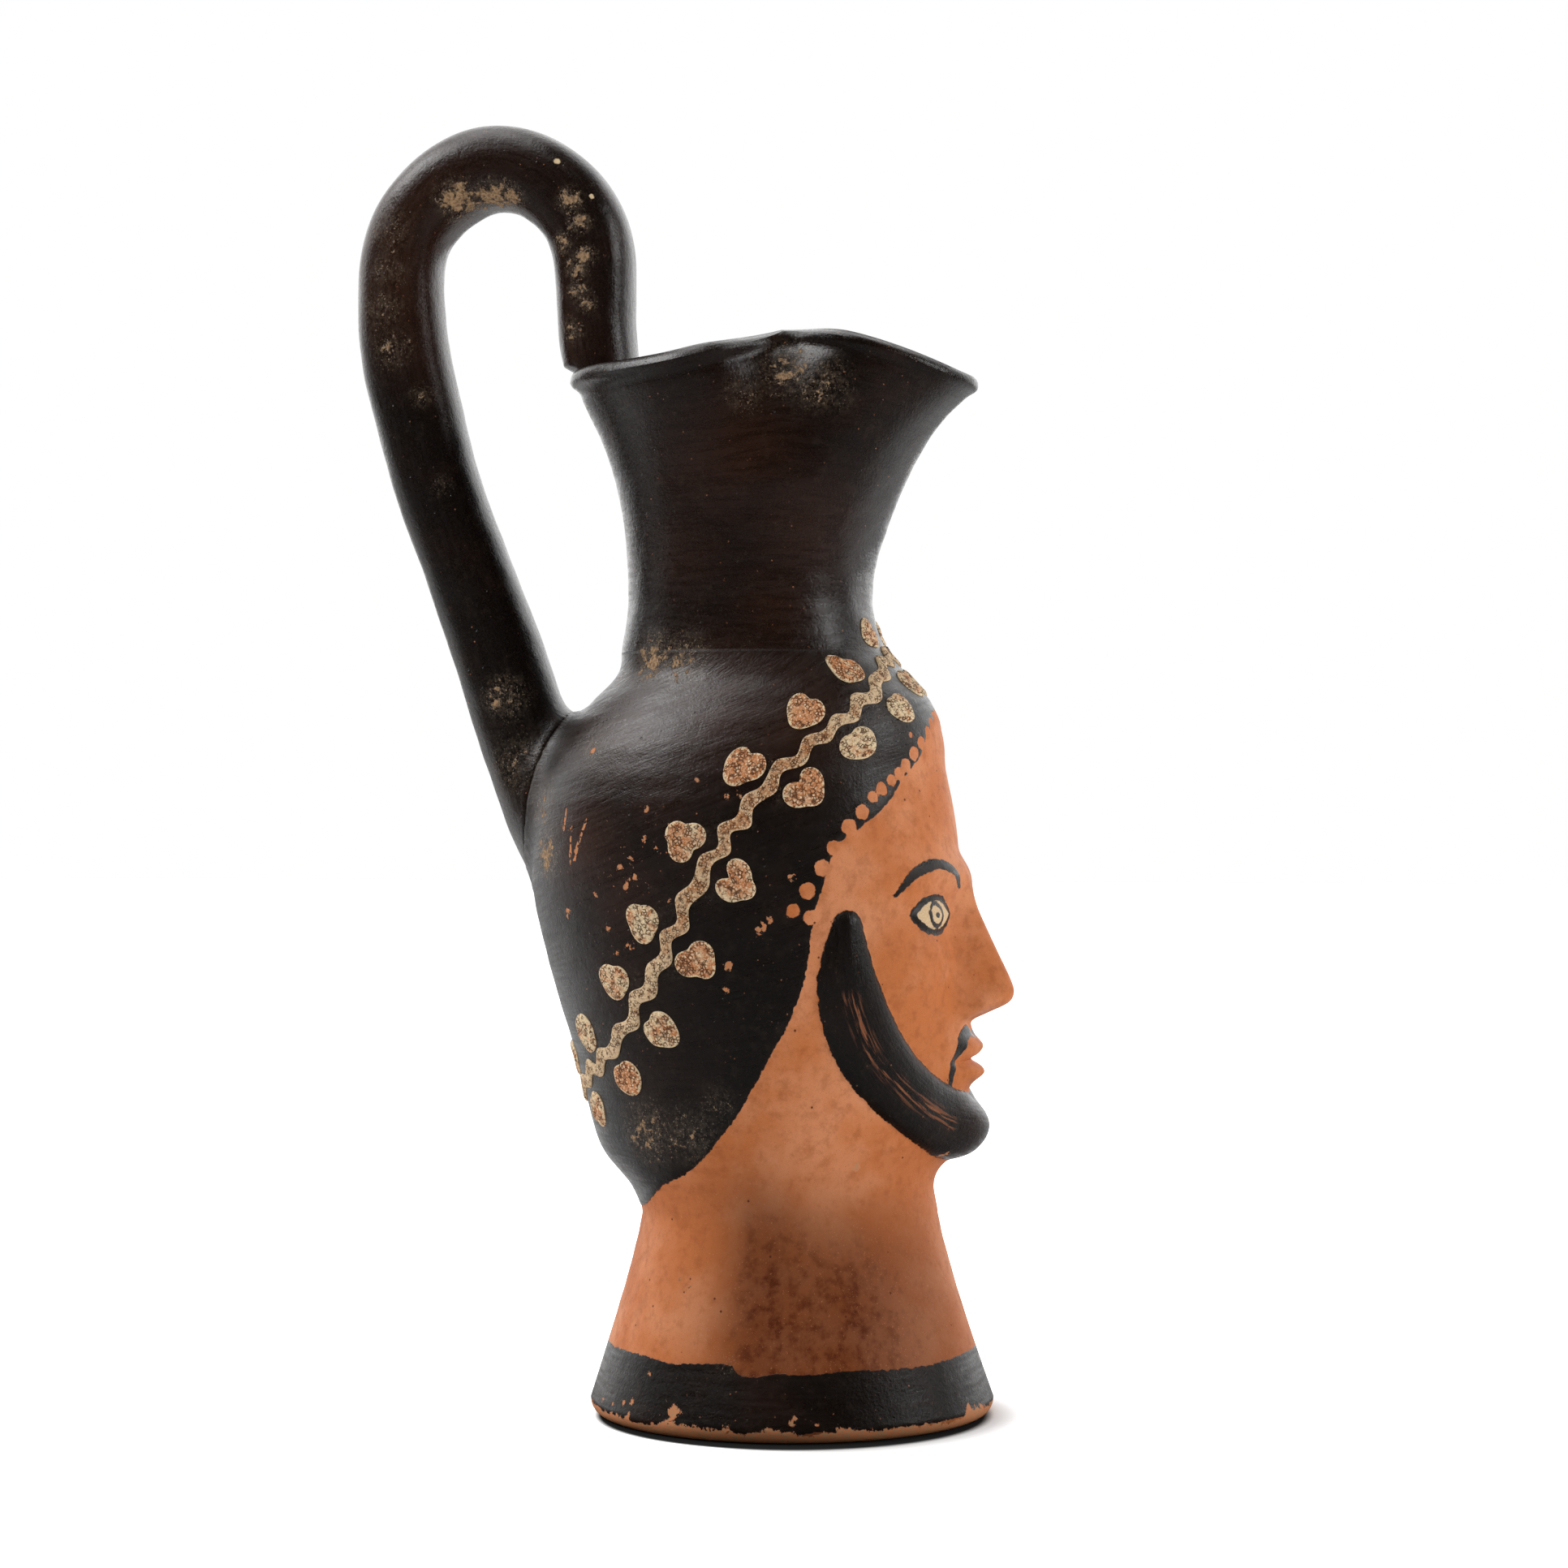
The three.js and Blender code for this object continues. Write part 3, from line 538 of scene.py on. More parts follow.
class Face:
    """The raised forms and the painted marks of the face. Both are the same on the two sides."""

    def __init__(self, sizes: FaceSizes) -> None:
        """Keeps the sizes and works out the beard's middle line.

        Args:
            sizes: Driving sizes of the face.
        """
        self.sizes = sizes
        self.bridge = Curve(NOSE_SHARES)
        f = sizes
        half_round = math.pi * f.skull_half_width
        self.beard = [
            (turn * half_round, f.chin_height + share * f.length, width * f.beard_half_width)
            for turn, share, width in BEARD_SHARES
        ]

    def flat(self, angle: Array, height: Array) -> tuple[Array, Array]:
        """Distance from the middle plane and height on the face, from its front."""
        return np.abs(self.sizes.skull_half_width * np.sin(angle)), np.asarray(height, float)

    def beard_depth(self, angle: Array, height: Array) -> Array:
        """Depth inside the beard's outline."""
        return path_depth(np.abs(angle) * self.sizes.skull_half_width, height, self.beard)

    def nose(self, side: Array, share: Array) -> Array:
        """Rise of the nose: it grows from the root to the tip and turns in under it.

        Args:
            side: Distances from the middle plane.
            share: Heights as shares of the face.

        Returns:
            Rises in millimetres.
        """
        f = self.sizes
        rise, width = np.moveaxis(self.bridge(share), -1, 0)
        return f.nose_rise * rise * np.exp(-((side / width / f.nose_half_width) ** f.nose_roundness))

    def almond(self, side: Array, height: Array) -> Array:
        """Depth inside the eye's almond outline.

        Args:
            side: Distances from the middle plane.
            height: Heights on the face.

        Returns:
            Depths in millimetres, negative outside.
        """
        f = self.sizes
        radius = (f.eye_half_length**2 + f.eye_half_height**2) / (2 * f.eye_half_height)
        x, z = side - f.eye_across, height - f.eye_height
        drop = radius - f.eye_half_height
        return radius - np.maximum(np.hypot(x, z + drop), np.hypot(x, z - drop))

    def relief(self, angle: Array, height: Array) -> Array:
        """How far the face stands out of the bare skin.

        Args:
            angle: Angles round the axis.
            height: Heights before the lip's lift.

        Returns:
            Rises in millimetres.
        """
        f = self.sizes
        angle, height = np.broadcast_arrays(np.asarray(angle, float), np.asarray(height, float))
        rise = np.zeros(angle.shape)
        share = (height - f.chin_height) / f.length
        near = (np.cos(angle) > 0) & (share < f.reach_up_share) & (share > -f.reach_down_share)
        a, h, share = angle[near], height[near], share[near]
        side, _ = self.flat(a, h)
        total = self.nose(side, share)
        for out, up, half_width, half_height, form in (*FACE_FORM_SHARES, *FINE_FORM_SHARES):
            x = (side / f.half_width - out) / half_width
            z = (share - up) / half_height
            total = total + f.nose_rise * form * np.exp(-x * x - z * z)
        roll = np.clip(self.beard_depth(a, h) / f.beard_half_width, 0, 1)
        outer, inner = f.beard_powers
        total = total + f.beard_rise * (1 - (1 - roll) ** outer) ** inner
        ball = np.clip(self.almond(side, h) / f.eye_half_height, 0, 1)
        total = total + f.eye_bulge * np.sqrt(ball * (2 - ball))
        rise[near] = total
        return rise

    def strokes(self, angle: Array, height: Array) -> Array:
        """Depth inside the black strokes: brows, outlined eyes, moustache, patch under the lip, beard.

        Args:
            angle: Angles round the axis.
            height: Heights before the lip's lift.

        Returns:
            Depths in millimetres, negative outside.
        """
        f = self.sizes
        side, up = self.flat(angle, height)
        almond = self.almond(side, up)
        iris = np.hypot(side - f.eye_across, up - f.eye_height)
        marks = [
            path_depth(side, up, BROW),
            path_depth(side, up, MOUSTACHE),
            path_depth(side, up, LIP_PATCH),
            f.lid_half_width - np.abs(almond),
            np.minimum(f.iris_line - np.abs(iris - f.iris_radius), almond),
            f.pupil_radius - iris,
            self.beard_depth(angle, height),
        ]
        return np.where(np.cos(angle) > 0, np.maximum.reduce(marks), FAR_OUT)

    def eye_white(self, angle: Array, height: Array) -> Array:
        """Depth inside the cream of the eye."""
        side, up = self.flat(angle, height)
        return np.where(np.cos(angle) > 0, self.almond(side, up), FAR_OUT)

    def beard_grain(self, angle: Array, height: Array) -> Array:
        """Place in the brushed grain of the beard, which runs along it.

        Args:
            angle: Angles round the axis.
            height: Heights before the lip's lift.

        Returns:
            Vectors across the beard and along it.
        """
        f = self.sizes
        line = Curve([(i, *row) for i, row in enumerate(self.beard)], level_ends=False)
        points = line(np.linspace(0, len(self.beard) - 1, f.grain_steps))[:, :2]
        x, z = np.abs(angle) * f.skull_half_width, height
        gap = np.hypot(x[:, None] - points[:, 0], z[:, None] - points[:, 1])
        i = gap.argmin(axis=1)
        step = unit(np.gradient(points, axis=0))
        away = np.column_stack([x, z]) - points[i]
        across = away[:, 0] * step[i, 1] - away[:, 1] * step[i, 0]
        along = i + (away * step[i]).sum(axis=1)
        across_scale, along_scale = f.grain_scales
        return np.column_stack([across_scale * across, along_scale * along, np.sign(angle)])

    def beard_streak(self, angle: Array, height: Array) -> Array:
        """How much clay shows through the brushed middle of the beard, 0 to 1.

        Args:
            angle: Angles round the axis.
            height: Heights before the lip's lift.

        Returns:
            One share for each place.
        """
        f = self.sizes
        thin = [(x + f.streak_shift, z, w * f.streak_half_width_share) for x, z, w in self.beard[2:6]]
        depth = path_depth(np.abs(angle) * f.skull_half_width, height, thin)
        return np.where(np.cos(angle) > 0, np.clip(depth / f.streak_fade, 0, 1), 0)


# ---- painted layout and wear of the whole vase

# Lower edge of the painted hair: angle from the front in degrees, height
HAIR_EDGE: Table = (
    (0, 110.0), (8, 109.7), (17.5, 107.2), (22, 104.4), (30, 101.2), (40.5, 96.2), (49, 93.2), (54, 91.5),
    (58.5, 88.4), (61.5, 84.4), (65.5, 78.2), (68, 71.7), (73.5, 64.7), (81, 58.2), (90, 51.2),
    (94, 48.4), (107, 41.7), (130, 37.2), (152, 33.6), (180, 32.4),
)

# Curls of the fringe, left in clay: angle from the front in degrees, height, radius
CURLS: Table = (
    (70, 80.7, 1.1), (65.5, 79.7, 1.2), (65.8, 83.7, 1.25), (60.5, 82.9, 1.15), (61, 87.2, 1.3),
    (57, 90.2, 1.25), (52, 93.4, 1.3), (47.5, 95.7, 1.2), (43.5, 98, 0.95), (40, 99.2, 1.15),
    (36, 100.5, 0.95), (32.5, 101.6, 1.1), (29.5, 102.9, 1.1), (25.5, 104.7, 1.15), (21, 106.4, 1.1),
    (15.5, 108, 1.15), (10.5, 109.4, 1.1), (5, 110.4, 1.15), (0, 110.8, 1.2), (27, 107.7, 0.5),
)

# Top edge of the painted foot band: angle in degrees, height
BAND_EDGE: Table = (
    (-180, 11.2), (-155.5, 11.3), (-142, 11.4), (-130.5, 11.3), (-119.5, 10.9), (-111, 11.3),
    (-102.5, 11.5), (-99, 11.2), (-97.4, 10.3), (-95, 9.9), (-85, 10.3), (-75.5, 10.2), (-63, 10.6),
    (-49.5, 10.3), (-33.5, 10.3), (-14, 10.7), (4, 10.6), (30, 10.6), (60, 10.9), (95, 10.3), (120, 11.1),
    (150, 10.7), (180, 11.2),
)

# Chips that show the clay: angle in degrees, height, radius
CHIPS: Table = (
    (-106.5, 96.2, 0.45), (-107, 91.7, 0.5), (-104, 90.2, 0.3), (-115.5, 87.2, 0.5), (-113, 85.2, 0.45),
    (-111, 85.7, 0.35), (-114.5, 84.2, 0.5), (-112.2, 88.6, 0.3), (-93.5, 100.7, 0.3),
    (-131, 105.2, 0.55), (-137.5, 80.2, 0.4), (-138.4, 79.2, 0.4), (-122.5, 77.7, 0.4),
    (-120.5, 73.7, 0.4), (-116, 75.2, 0.45), (-125, 82.7, 0.3), (-78, 78.4, 0.5), (-79.8, 77.7, 0.4),
    (-76.4, 79.2, 0.35), (-102, 82.2, 0.35), (-81, 98.2, 0.35), (-84.5, 98.2, 0.3), (-90, 68.7, 0.5),
    (-88.5, 72.2, 0.7), (-69.5, 85.9, 0.4), (-116, 3.9, 1.15), (-80.7, 3.6, 0.55), (-74, 3.1, 0.35),
    (-150, 3.2, 0.4), (-143.6, 3.2, 0.5), (-137, 3.9, 0.4), (-133, 4.4, 0.4), (-133, 2.4, 0.5),
    (-22, 2.5, 1.1), (-14, 2.2, 0.8), (-99, 2.2, 0.6), (-128, 9, 0.3), (-55, 40.8, 0.7), (-18, 42.2, 0.6),
    (38, 52, 0.6),
)

# Darker patches of the bare clay, partly real stains and partly painted shade that darkens the flared foot:
# angle in degrees, height, half width in degrees, half height, strength
STAINS_AND_SHADE: Table = (
    (-62, 13, 38, 22, 0.88), (-90, 14, 15, 24, 0.8), (-24, 14, 18, 20, 0.3), (-97, 24, 3, 10, 0.12),
    (60, 22, 24, 14, 0.5), (105, 19, 20, 14, 0.35), (165, 20, 26, 14, 0.4),
)

# Thin places of the black slip, where it fires brown: angle in degrees, height, radius, strength
THIN_PLACES: Table = (
    (-128, 91, 9, 1.0), (-116, 82, 8, 0.7), (-104, 98, 7, 0.6), (-93, 88, 7, 0.45), (-120, 70, 10, 0.4),
    (-98, 112, 13, 0.9), (-74, 111, 12, 0.7), (-124, 109, 12, 0.9), (-95, 150, 12, 0.75),
    (-60, 140, 11, 0.7), (-110, 136, 9, 0.5), (-70, 128, 8, 0.6), (-135, 106, 8, 0.5), (110, 92, 12, 0.8),
    (95, 75, 10, 0.6), (100, 145, 14, 0.7), (150, 80, 12, 0.6),
)

# Places where small chips are likely: angle in degrees, height, radius, strength
WORN_PLACES: Table = (
    (-113, 87, 9, 0.75), (-102, 82, 9, 0.45), (-125, 76, 10, 0.4), (-104, 98, 9, 0.4), (-92, 66, 12, 0.3),
    (-80, 76, 7, 0.35), (-60, 4, 60, 0.3), (110, 85, 14, 0.6), (95, 70, 14, 0.4), (150, 4, 50, 0.3),
)

# Scratches through the slip: start angle and height, end angle and height
SCRATCHES: Table = (
    (-132, 93.4, -133.4, 87.6), (-126, 94.6, -131.6, 88), (-128.6, 91.6, -131, 89.4),
    (-135, 96, -135.6, 92.6), (128, 90, 121, 84), (104, 102, 112, 99),
)

# Deposits on the skin: angle in degrees, height, radius, strength
SKIN_DUST: Table = (
    (-146, 89, 4.5, 1.0), (-150, 97, 5, 0.75), (-133, 106, 4, 0.6), (-131, 119.5, 5.5, 0.9),
    (-114, 119, 6, 0.75), (-152, 117, 4, 0.6), (-79, 160, 6, 0.78), (-68, 158.5, 6, 0.72),
    (-92, 158, 5, 0.55), (-60, 157, 4, 0.5), (-112, 16, 6, 0.42), (-121, 22, 7, 0.42),
    (-101, 11.5, 3.5, 0.45), (-58, 12, 3, 0.4), (-108, 46, 7, 0.62), (-124, 46, 7, 0.75),
    (-98, 51, 5, 0.5), (-144, 74, 7, 0.35), (-85, 121, 4, 0.35), (-100, 66, 8, 0.25), (-62, 118, 4, 0.3),
    (140, 92, 6, 0.8), (150, 104, 6, 0.6), (125, 118, 6, 0.6), (82, 163, 5, 0.6), (110, 47, 9, 0.45),
    (170, 60, 8, 0.4), (-170, 45, 8, 0.4),
)

# Deposits on the handle: back from the axis, height, radius, strength
HANDLE_DUST: Table = (
    (53.8, 194.2, 2.4, 1.15), (51.4, 191.4, 1.8, 1.15), (50.6, 191.4, 3.2, 1.3), (47.4, 192.7, 3.0, 1.3),
    (45.3, 193.5, 2.2, 1.2), (34.9, 193.4, 1.6, 1.1), (33.2, 189.6, 1.5, 1.1), (36.0, 186.6, 1.5, 0.9),
    (32.4, 184.1, 1.6, 1.05), (33.6, 182.4, 1.6, 1.0), (33.3, 178.6, 1.6, 0.9), (32.2, 176.8, 1.4, 1.05),
    (34.4, 172.6, 1.8, 0.8), (64.4, 189.5, 3.4, 0.6), (64.6, 182.5, 3.0, 0.6), (65.6, 176.5, 3.4, 0.62),
    (64.0, 170.0, 3.4, 0.6), (59.2, 162.4, 2, 0.6), (56, 148, 2, 0.5), (45.3, 113.8, 3.2, 0.8),
    (43, 103, 5, 0.6),
)

# Pale drops on the handle: back from the axis, height, radius
HANDLE_DROPS: Table = (
    (37.1, 199.5, 0.75), (38, 199.2, 0.6), (31.4, 193.9, 0.55), (59.4, 162.3, 0.4), (55.8, 148, 0.45),
)


@dataclass(frozen=True)
class PaintSizes:
    """Sizes of the painted layout."""

    far: float = 6
    band_bottom: float = 1.7
    worn_height: float = 1.9
    inner_edge_height: float = 150
    curl_rise: float = 0.14
    scratch_half_width: float = 0.22
    scratch_softness: float = 1.5
    mirrored_chips: int = 25
    mirrored_turn: float = 9
    mirrored_turn_share: float = 0.94
    mirrored_lift: float = 2.4
    mirrored_height_share: float = 0.97
    mirrored_radius_share: float = 0.9
    least_wear: float = 0.12
    handle_side: float = 6.6
    drop_side: float = 6.5
    handle_dust_scale: float = 1.5
    far_side_dust_share: float = 0.8


class Painting:
    """Where the slip, the cream, the chips and the deposits lie."""

    def __init__(self, skin: Skin, sizes: PaintSizes) -> None:
        """Keeps the skin that everything is measured on, and finds the tables' places on it.

        Args:
            skin: The skin.
            sizes: Sizes of the layout.
        """
        self.skin = skin
        self.sizes = sizes
        self.hair = Curve(HAIR_EDGE)
        self.band = Curve(BAND_EDGE, level_ends=False)
        self.curls = self.spots([(hand * a, h, r) for a, h, r in CURLS for hand in (-1, 1)])
        p = sizes
        other_side = [
            (
                p.mirrored_turn - a * p.mirrored_turn_share,
                h * p.mirrored_height_share + p.mirrored_lift,
                r * p.mirrored_radius_share,
            )
            for a, h, r in CHIPS[: p.mirrored_chips]
        ]
        self.chips = self.spots([*CHIPS, *other_side])
        self.thin = self.spots(THIN_PLACES)
        self.worn = self.spots(WORN_PLACES)
        ends = [self.spots([row[:2], row[2:]]) for row in SCRATCHES]
        self.scratches = [(start, end - start) for (start,), (end,) in ends]
        self.drops = [(np.array([-p.drop_side, back, height]), r) for back, height, r in HANDLE_DROPS]
        self.dust = self.spots(SKIN_DUST)
        for back, height, radius, strength in HANDLE_DUST:
            for hand, share in ((-1, 1), (1, p.far_side_dust_share)):
                place = np.array([hand * p.handle_side, back, height])
                self.dust.append((place, radius * p.handle_dust_scale, strength * share))

    def spots(self, table: Sequence[Row]) -> list[tuple]:
        """Rows of (angle in degrees, height, ...) as rows of (place on the bare skin, ...).

        Args:
            table: The rows.

        Returns:
            The rows with their places.
        """
        return [
            (self.skin.bare(np.array([math.radians(angle)]), np.array([height]))[0], *rest)
            for angle, height, *rest in table
        ]

    def hair_depth(self, angle: Array, height: Array) -> Array:
        """Depth inside the painted hair.

        Args:
            angle: Angles round the axis.
            height: Heights before the lip's lift.

        Returns:
            Depths in millimetres, negative outside.
        """
        turn = np.abs(np.degrees(angle))
        edge = self.hair(turn)[..., 0]
        degree = math.radians(self.skin.sizes.skull_half_width)
        steep = (self.hair(turn + 0.5)[..., 0] - self.hair(turn - 0.5)[..., 0]) / degree
        return (height - edge) / np.sqrt(1 + steep**2)

    def band_depth(self, angle: Array, height: Array) -> Array:
        """Depth inside the painted band of the foot.

        Args:
            angle: Angles round the axis.
            height: Heights before the lip's lift.

        Returns:
            Depths in millimetres, negative outside.
        """
        top = self.band(np.degrees(angle))[..., 0]
        ragged = 0.45 * waves(21, 12, 30 * np.sin(angle), 30 * np.cos(angle))
        return np.minimum(top - height, height - self.sizes.band_bottom - ragged * 0.6)

    def slip(self, angle: Array, height: Array, inset: Array, points: Array) -> Array:
        """Signed depth inside the black slip, in millimetres.

        Args:
            angle: Angles of the vertices.
            height: Their heights before the lip's lift.
            inset: Their depths in the wall.
            points: Their places on the bare skin.

        Returns:
            One depth for each vertex, held within the far limit.
        """
        p = self.sizes
        hair = np.minimum(self.hair_depth(angle, height), -ball_depth(points, self.curls))
        marks = [hair, self.skin.face.strokes(angle, height), self.band_depth(angle, height)]
        inside = inset > self.skin.sizes.lip_wall / 2
        depth = np.where(inside, height - p.inner_edge_height, np.maximum.reduce(marks))
        return np.clip(depth, -p.far, p.far)

    def chip_depth(self, points: Array) -> Array:
        """Depth inside the chips that are knocked out of the slip, and below the foot's worn edge.

        Args:
            points: Points in millimetres.

        Returns:
            Depths in millimetres, negative outside.
        """
        around = np.arctan2(points[:, 0], -points[:, 1])
        ragged = 0.35 * waves(22, 24, 22 * np.sin(around), 22 * np.cos(around))
        return ball_depth(points, self.chips, self.sizes.worn_height + ragged - points[:, 2])

    def stain_share(self, angle: Array, height: Array) -> Array:
        """Share of the darker patches of the bare clay, partly real stains and partly painted shade, 0 to 1.

        Args:
            angle: Angles round the axis.
            height: Heights before the lip's lift.

        Returns:
            One share for each place.
        """
        left = np.ones(len(angle))
        for turn, level, wide, tall, strength in STAINS_AND_SHADE:
            x, z = ((np.degrees(angle) - turn + 180) % 360 - 180) / wide, (height - level) / tall
            left = left * (1 - strength * np.exp(-(x**2) - z**4))
        return 1 - left

    def scratch_share(self, points: Array) -> Array:
        """Share of scratched slip at points, 0 to 1.

        Args:
            points: Points in millimetres.

        Returns:
            One share for each point.
        """
        share = np.zeros(len(points))
        half, soft = self.sizes.scratch_half_width, self.sizes.scratch_softness
        for start, line in self.scratches:
            along = np.clip((points - start) @ line / (line @ line), 0, 1)
            away = np.linalg.norm(points - start - along[:, None] * line, axis=1)
            share = np.maximum(share, np.clip(soft - away / half / soft, 0, 1))
        return share


# ---- meshes

Attributes = dict[str, Array]
Rule = Callable[[Array], tuple[Array, Attributes]]
TUBE_RADIUS = 100.0
SLANT = Vector((0.31, 0.57, 0.76))


def read_points(mesh: bpy.types.Mesh) -> Array:
    """Places of a mesh's vertices.

    Args:
        mesh: The mesh.

    Returns:
        One row for each vertex.
    """
    places = np.zeros(len(mesh.vertices) * 3, np.float32)
    mesh.vertices.foreach_get("co", places)
    return places.reshape(-1, 3).astype(float)


def write_points(mesh: bpy.types.Mesh, points: Array) -> None:
    """Moves a mesh's vertices to places."""
    mesh.vertices.foreach_set("co", points.astype(np.float32).ravel())


def placed(name: str, data: bpy.types.ID) -> bpy.types.Object:
    """A new object with its data, linked to the scene.

    Args:
        name: The object's name.
        data: Its data.

    Returns:
        The object.
    """
    thing = bpy.data.objects.new(name, data)
    bpy.context.scene.collection.objects.link(thing)
    return thing


def finished(bm: bmesh.types.BMesh, name: str, rule: Rule, crease: float = 40) -> bpy.types.Object:
    """Presses a bmesh into shape and makes it an object at the origin, its faces in a fixed order.

    Args:
        bm: The closed shape before pressing. It is freed.
        name: The object's name.
        rule: Gives each vertex its place in millimetres and its attributes.
        crease: Edges sharper than this many degrees stay sharp.

    Returns:
        The object, linked to the scene.
    """
    mesh = bpy.data.meshes.new(name)
    bm.to_mesh(mesh)
    bm.free()
    points, attributes = rule(read_points(mesh))
    write_points(mesh, points * MM)
    for key, values in attributes.items():
        kind, slot = ("FLOAT_VECTOR", "vector") if values.ndim == 2 else ("FLOAT", "value")
        layer = mesh.attributes.new(key, kind, "POINT")
        layer.data.foreach_set(slot, values.astype(np.float32).ravel())
    bm = bmesh.new()
    bm.from_mesh(mesh)
    bmesh.ops.recalc_face_normals(bm, faces=bm.faces)
    bm.faces.sort(key=lambda face: face.calc_center_median().dot(SLANT))
    bm.to_mesh(mesh)
    bm.free()
    mesh.shade_smooth()
    mesh.set_sharp_from_angle(angle=math.radians(crease))
    mesh.validate()
    mesh.update()
    return placed(name, mesh)


def rolled_wall(section: Sequence[Row], start: float, end: float, steps: int) -> bmesh.types.BMesh:
    """Rolls a flat grid into the wall of a straight tube with a closed section.

    Args:
        section: Corners of the section, each (inset, height).
        start: First angle in degrees, from the front.
        end: Last angle in degrees.
        steps: Steps between the two.

    Returns:
        A closed bmesh. Where the turn isn't full, a face closes each end.
    """
    bm = bmesh.new()
    bmesh.ops.create_grid(bm, x_segments=steps, y_segments=len(section), size=1)
    flat = bpy.data.meshes.new("flat")
    bm.to_mesh(flat)
    bm.free()
    across, along, _ = (read_points(flat).T + 1) / 2
    angle = np.radians(start + (end - start) * across)
    corners = np.array([*section, section[0]])[np.round(along * len(section)).astype(int)]
    radius = TUBE_RADIUS - corners[:, 0]
    write_points(flat, np.column_stack([radius * np.sin(angle), -radius * np.cos(angle), corners[:, 1]]))
    bm = bmesh.new()
    bm.from_mesh(flat)
    bpy.data.meshes.remove(flat)
    bmesh.ops.remove_doubles(bm, verts=[vert for vert in bm.verts if vert.is_boundary], dist=MM)
    if end - start < 360:
        bmesh.ops.holes_fill(bm, edges=[edge for edge in bm.edges if edge.is_boundary], sides=0)
    bmesh.ops.recalc_face_normals(bm, faces=bm.faces)
    return bm


def spun_bar(rows: int, sides: int) -> bmesh.types.BMesh:
    """A straight closed bar of radius 1 along Z, one unit from row to row.

    Args:
        rows: Rows of vertices.
        sides: Steps round it.

    Returns:
        The bmesh.
    """
    bm = bmesh.new()
    verts = [bm.verts.new((1, 0, row)) for row in range(rows)]
    line = verts + [bm.edges.new(pair) for pair in zip(verts, verts[1:])]
    turn = {"cent": (0, 0, 0), "axis": (0, 0, 1), "angle": 2 * math.pi}
    bmesh.ops.spin(bm, geom=line, steps=sides, use_merge=True, **turn)
    caps = bmesh.ops.holes_fill(bm, edges=bm.edges, sides=0)["faces"]
    bmesh.ops.poke(bm, faces=caps)
    bmesh.ops.recalc_face_normals(bm, faces=bm.faces)
    return bm


def thickened(bm: bmesh.types.BMesh) -> bmesh.types.BMesh:
    """Closes a flat bmesh with a second side one unit above it.

    Args:
        bm: The flat bmesh.

    Returns:
        The same bmesh, closed.
    """
    top = bmesh.ops.extrude_face_region(bm, geom=bm.faces[:], use_keep_orig=True)["geom"]
    bmesh.ops.translate(bm, verts=[g for g in top if isinstance(g, bmesh.types.BMVert)], vec=(0, 0, 1))
    bmesh.ops.recalc_face_normals(bm, faces=bm.faces)
    return bm


def pat(segments: int, rings: int) -> bmesh.types.BMesh:
    """A round closed pat of radius 1 and height 1, with rings of faces.

    Args:
        segments: Steps round the edge.
        rings: Number of rings.

    Returns:
        The bmesh.
    """
    bm = bmesh.new()
    bmesh.ops.create_circle(bm, cap_ends=True, segments=segments, radius=1)
    middle = bm.faces[:]
    inset = {"thickness": 1 / (rings + 1), "use_even_offset": True, "use_boundary": True}
    for _ in range(rings):
        bmesh.ops.inset_region(bm, faces=middle, **inset)
    bmesh.ops.poke(bm, faces=middle)
    return thickened(bm)


def ribbon(steps: int, across: int) -> bmesh.types.BMesh:
    """A closed flat ribbon from X 0 to 1, Y -1 to 1 and Z 0 to 1.

    Args:
        steps: Steps along X.
        across: Steps along Y.

    Returns:
        The bmesh.
    """
    bm = bmesh.new()
    place = Matrix.Translation((0.5, 0, 0)) @ Matrix.Diagonal((0.5, 1, 1, 1))
    bmesh.ops.create_grid(bm, x_segments=steps, y_segments=across, size=1, matrix=place)
    return thickened(bm)


def spaced(start: float, end: float, pitch: float) -> list[float]:
    """Heights from start to end, evenly spread about a pitch apart."""
    return list(np.linspace(start, end, max(round(abs(end - start) / pitch), 1) + 1))


def settle(piece: bpy.types.Object, finish: bpy.types.Material, slot: Slot, *nodes: str) -> None:
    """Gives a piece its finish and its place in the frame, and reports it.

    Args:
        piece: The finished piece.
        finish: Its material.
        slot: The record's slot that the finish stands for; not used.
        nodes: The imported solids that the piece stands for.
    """
    piece.data.materials.append(finish)
    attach(piece, "root")
    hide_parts(*nodes)
    log.info("%s: %d faces", piece.name, len(piece.data.polygons))


# ---- walls of the vase

# Roll under the lip: way down from the lip, half width, share of its thickness
RIM_ROLLS: Table = ((1, 0.8, 1), (2.9, 0.9, -0.8))


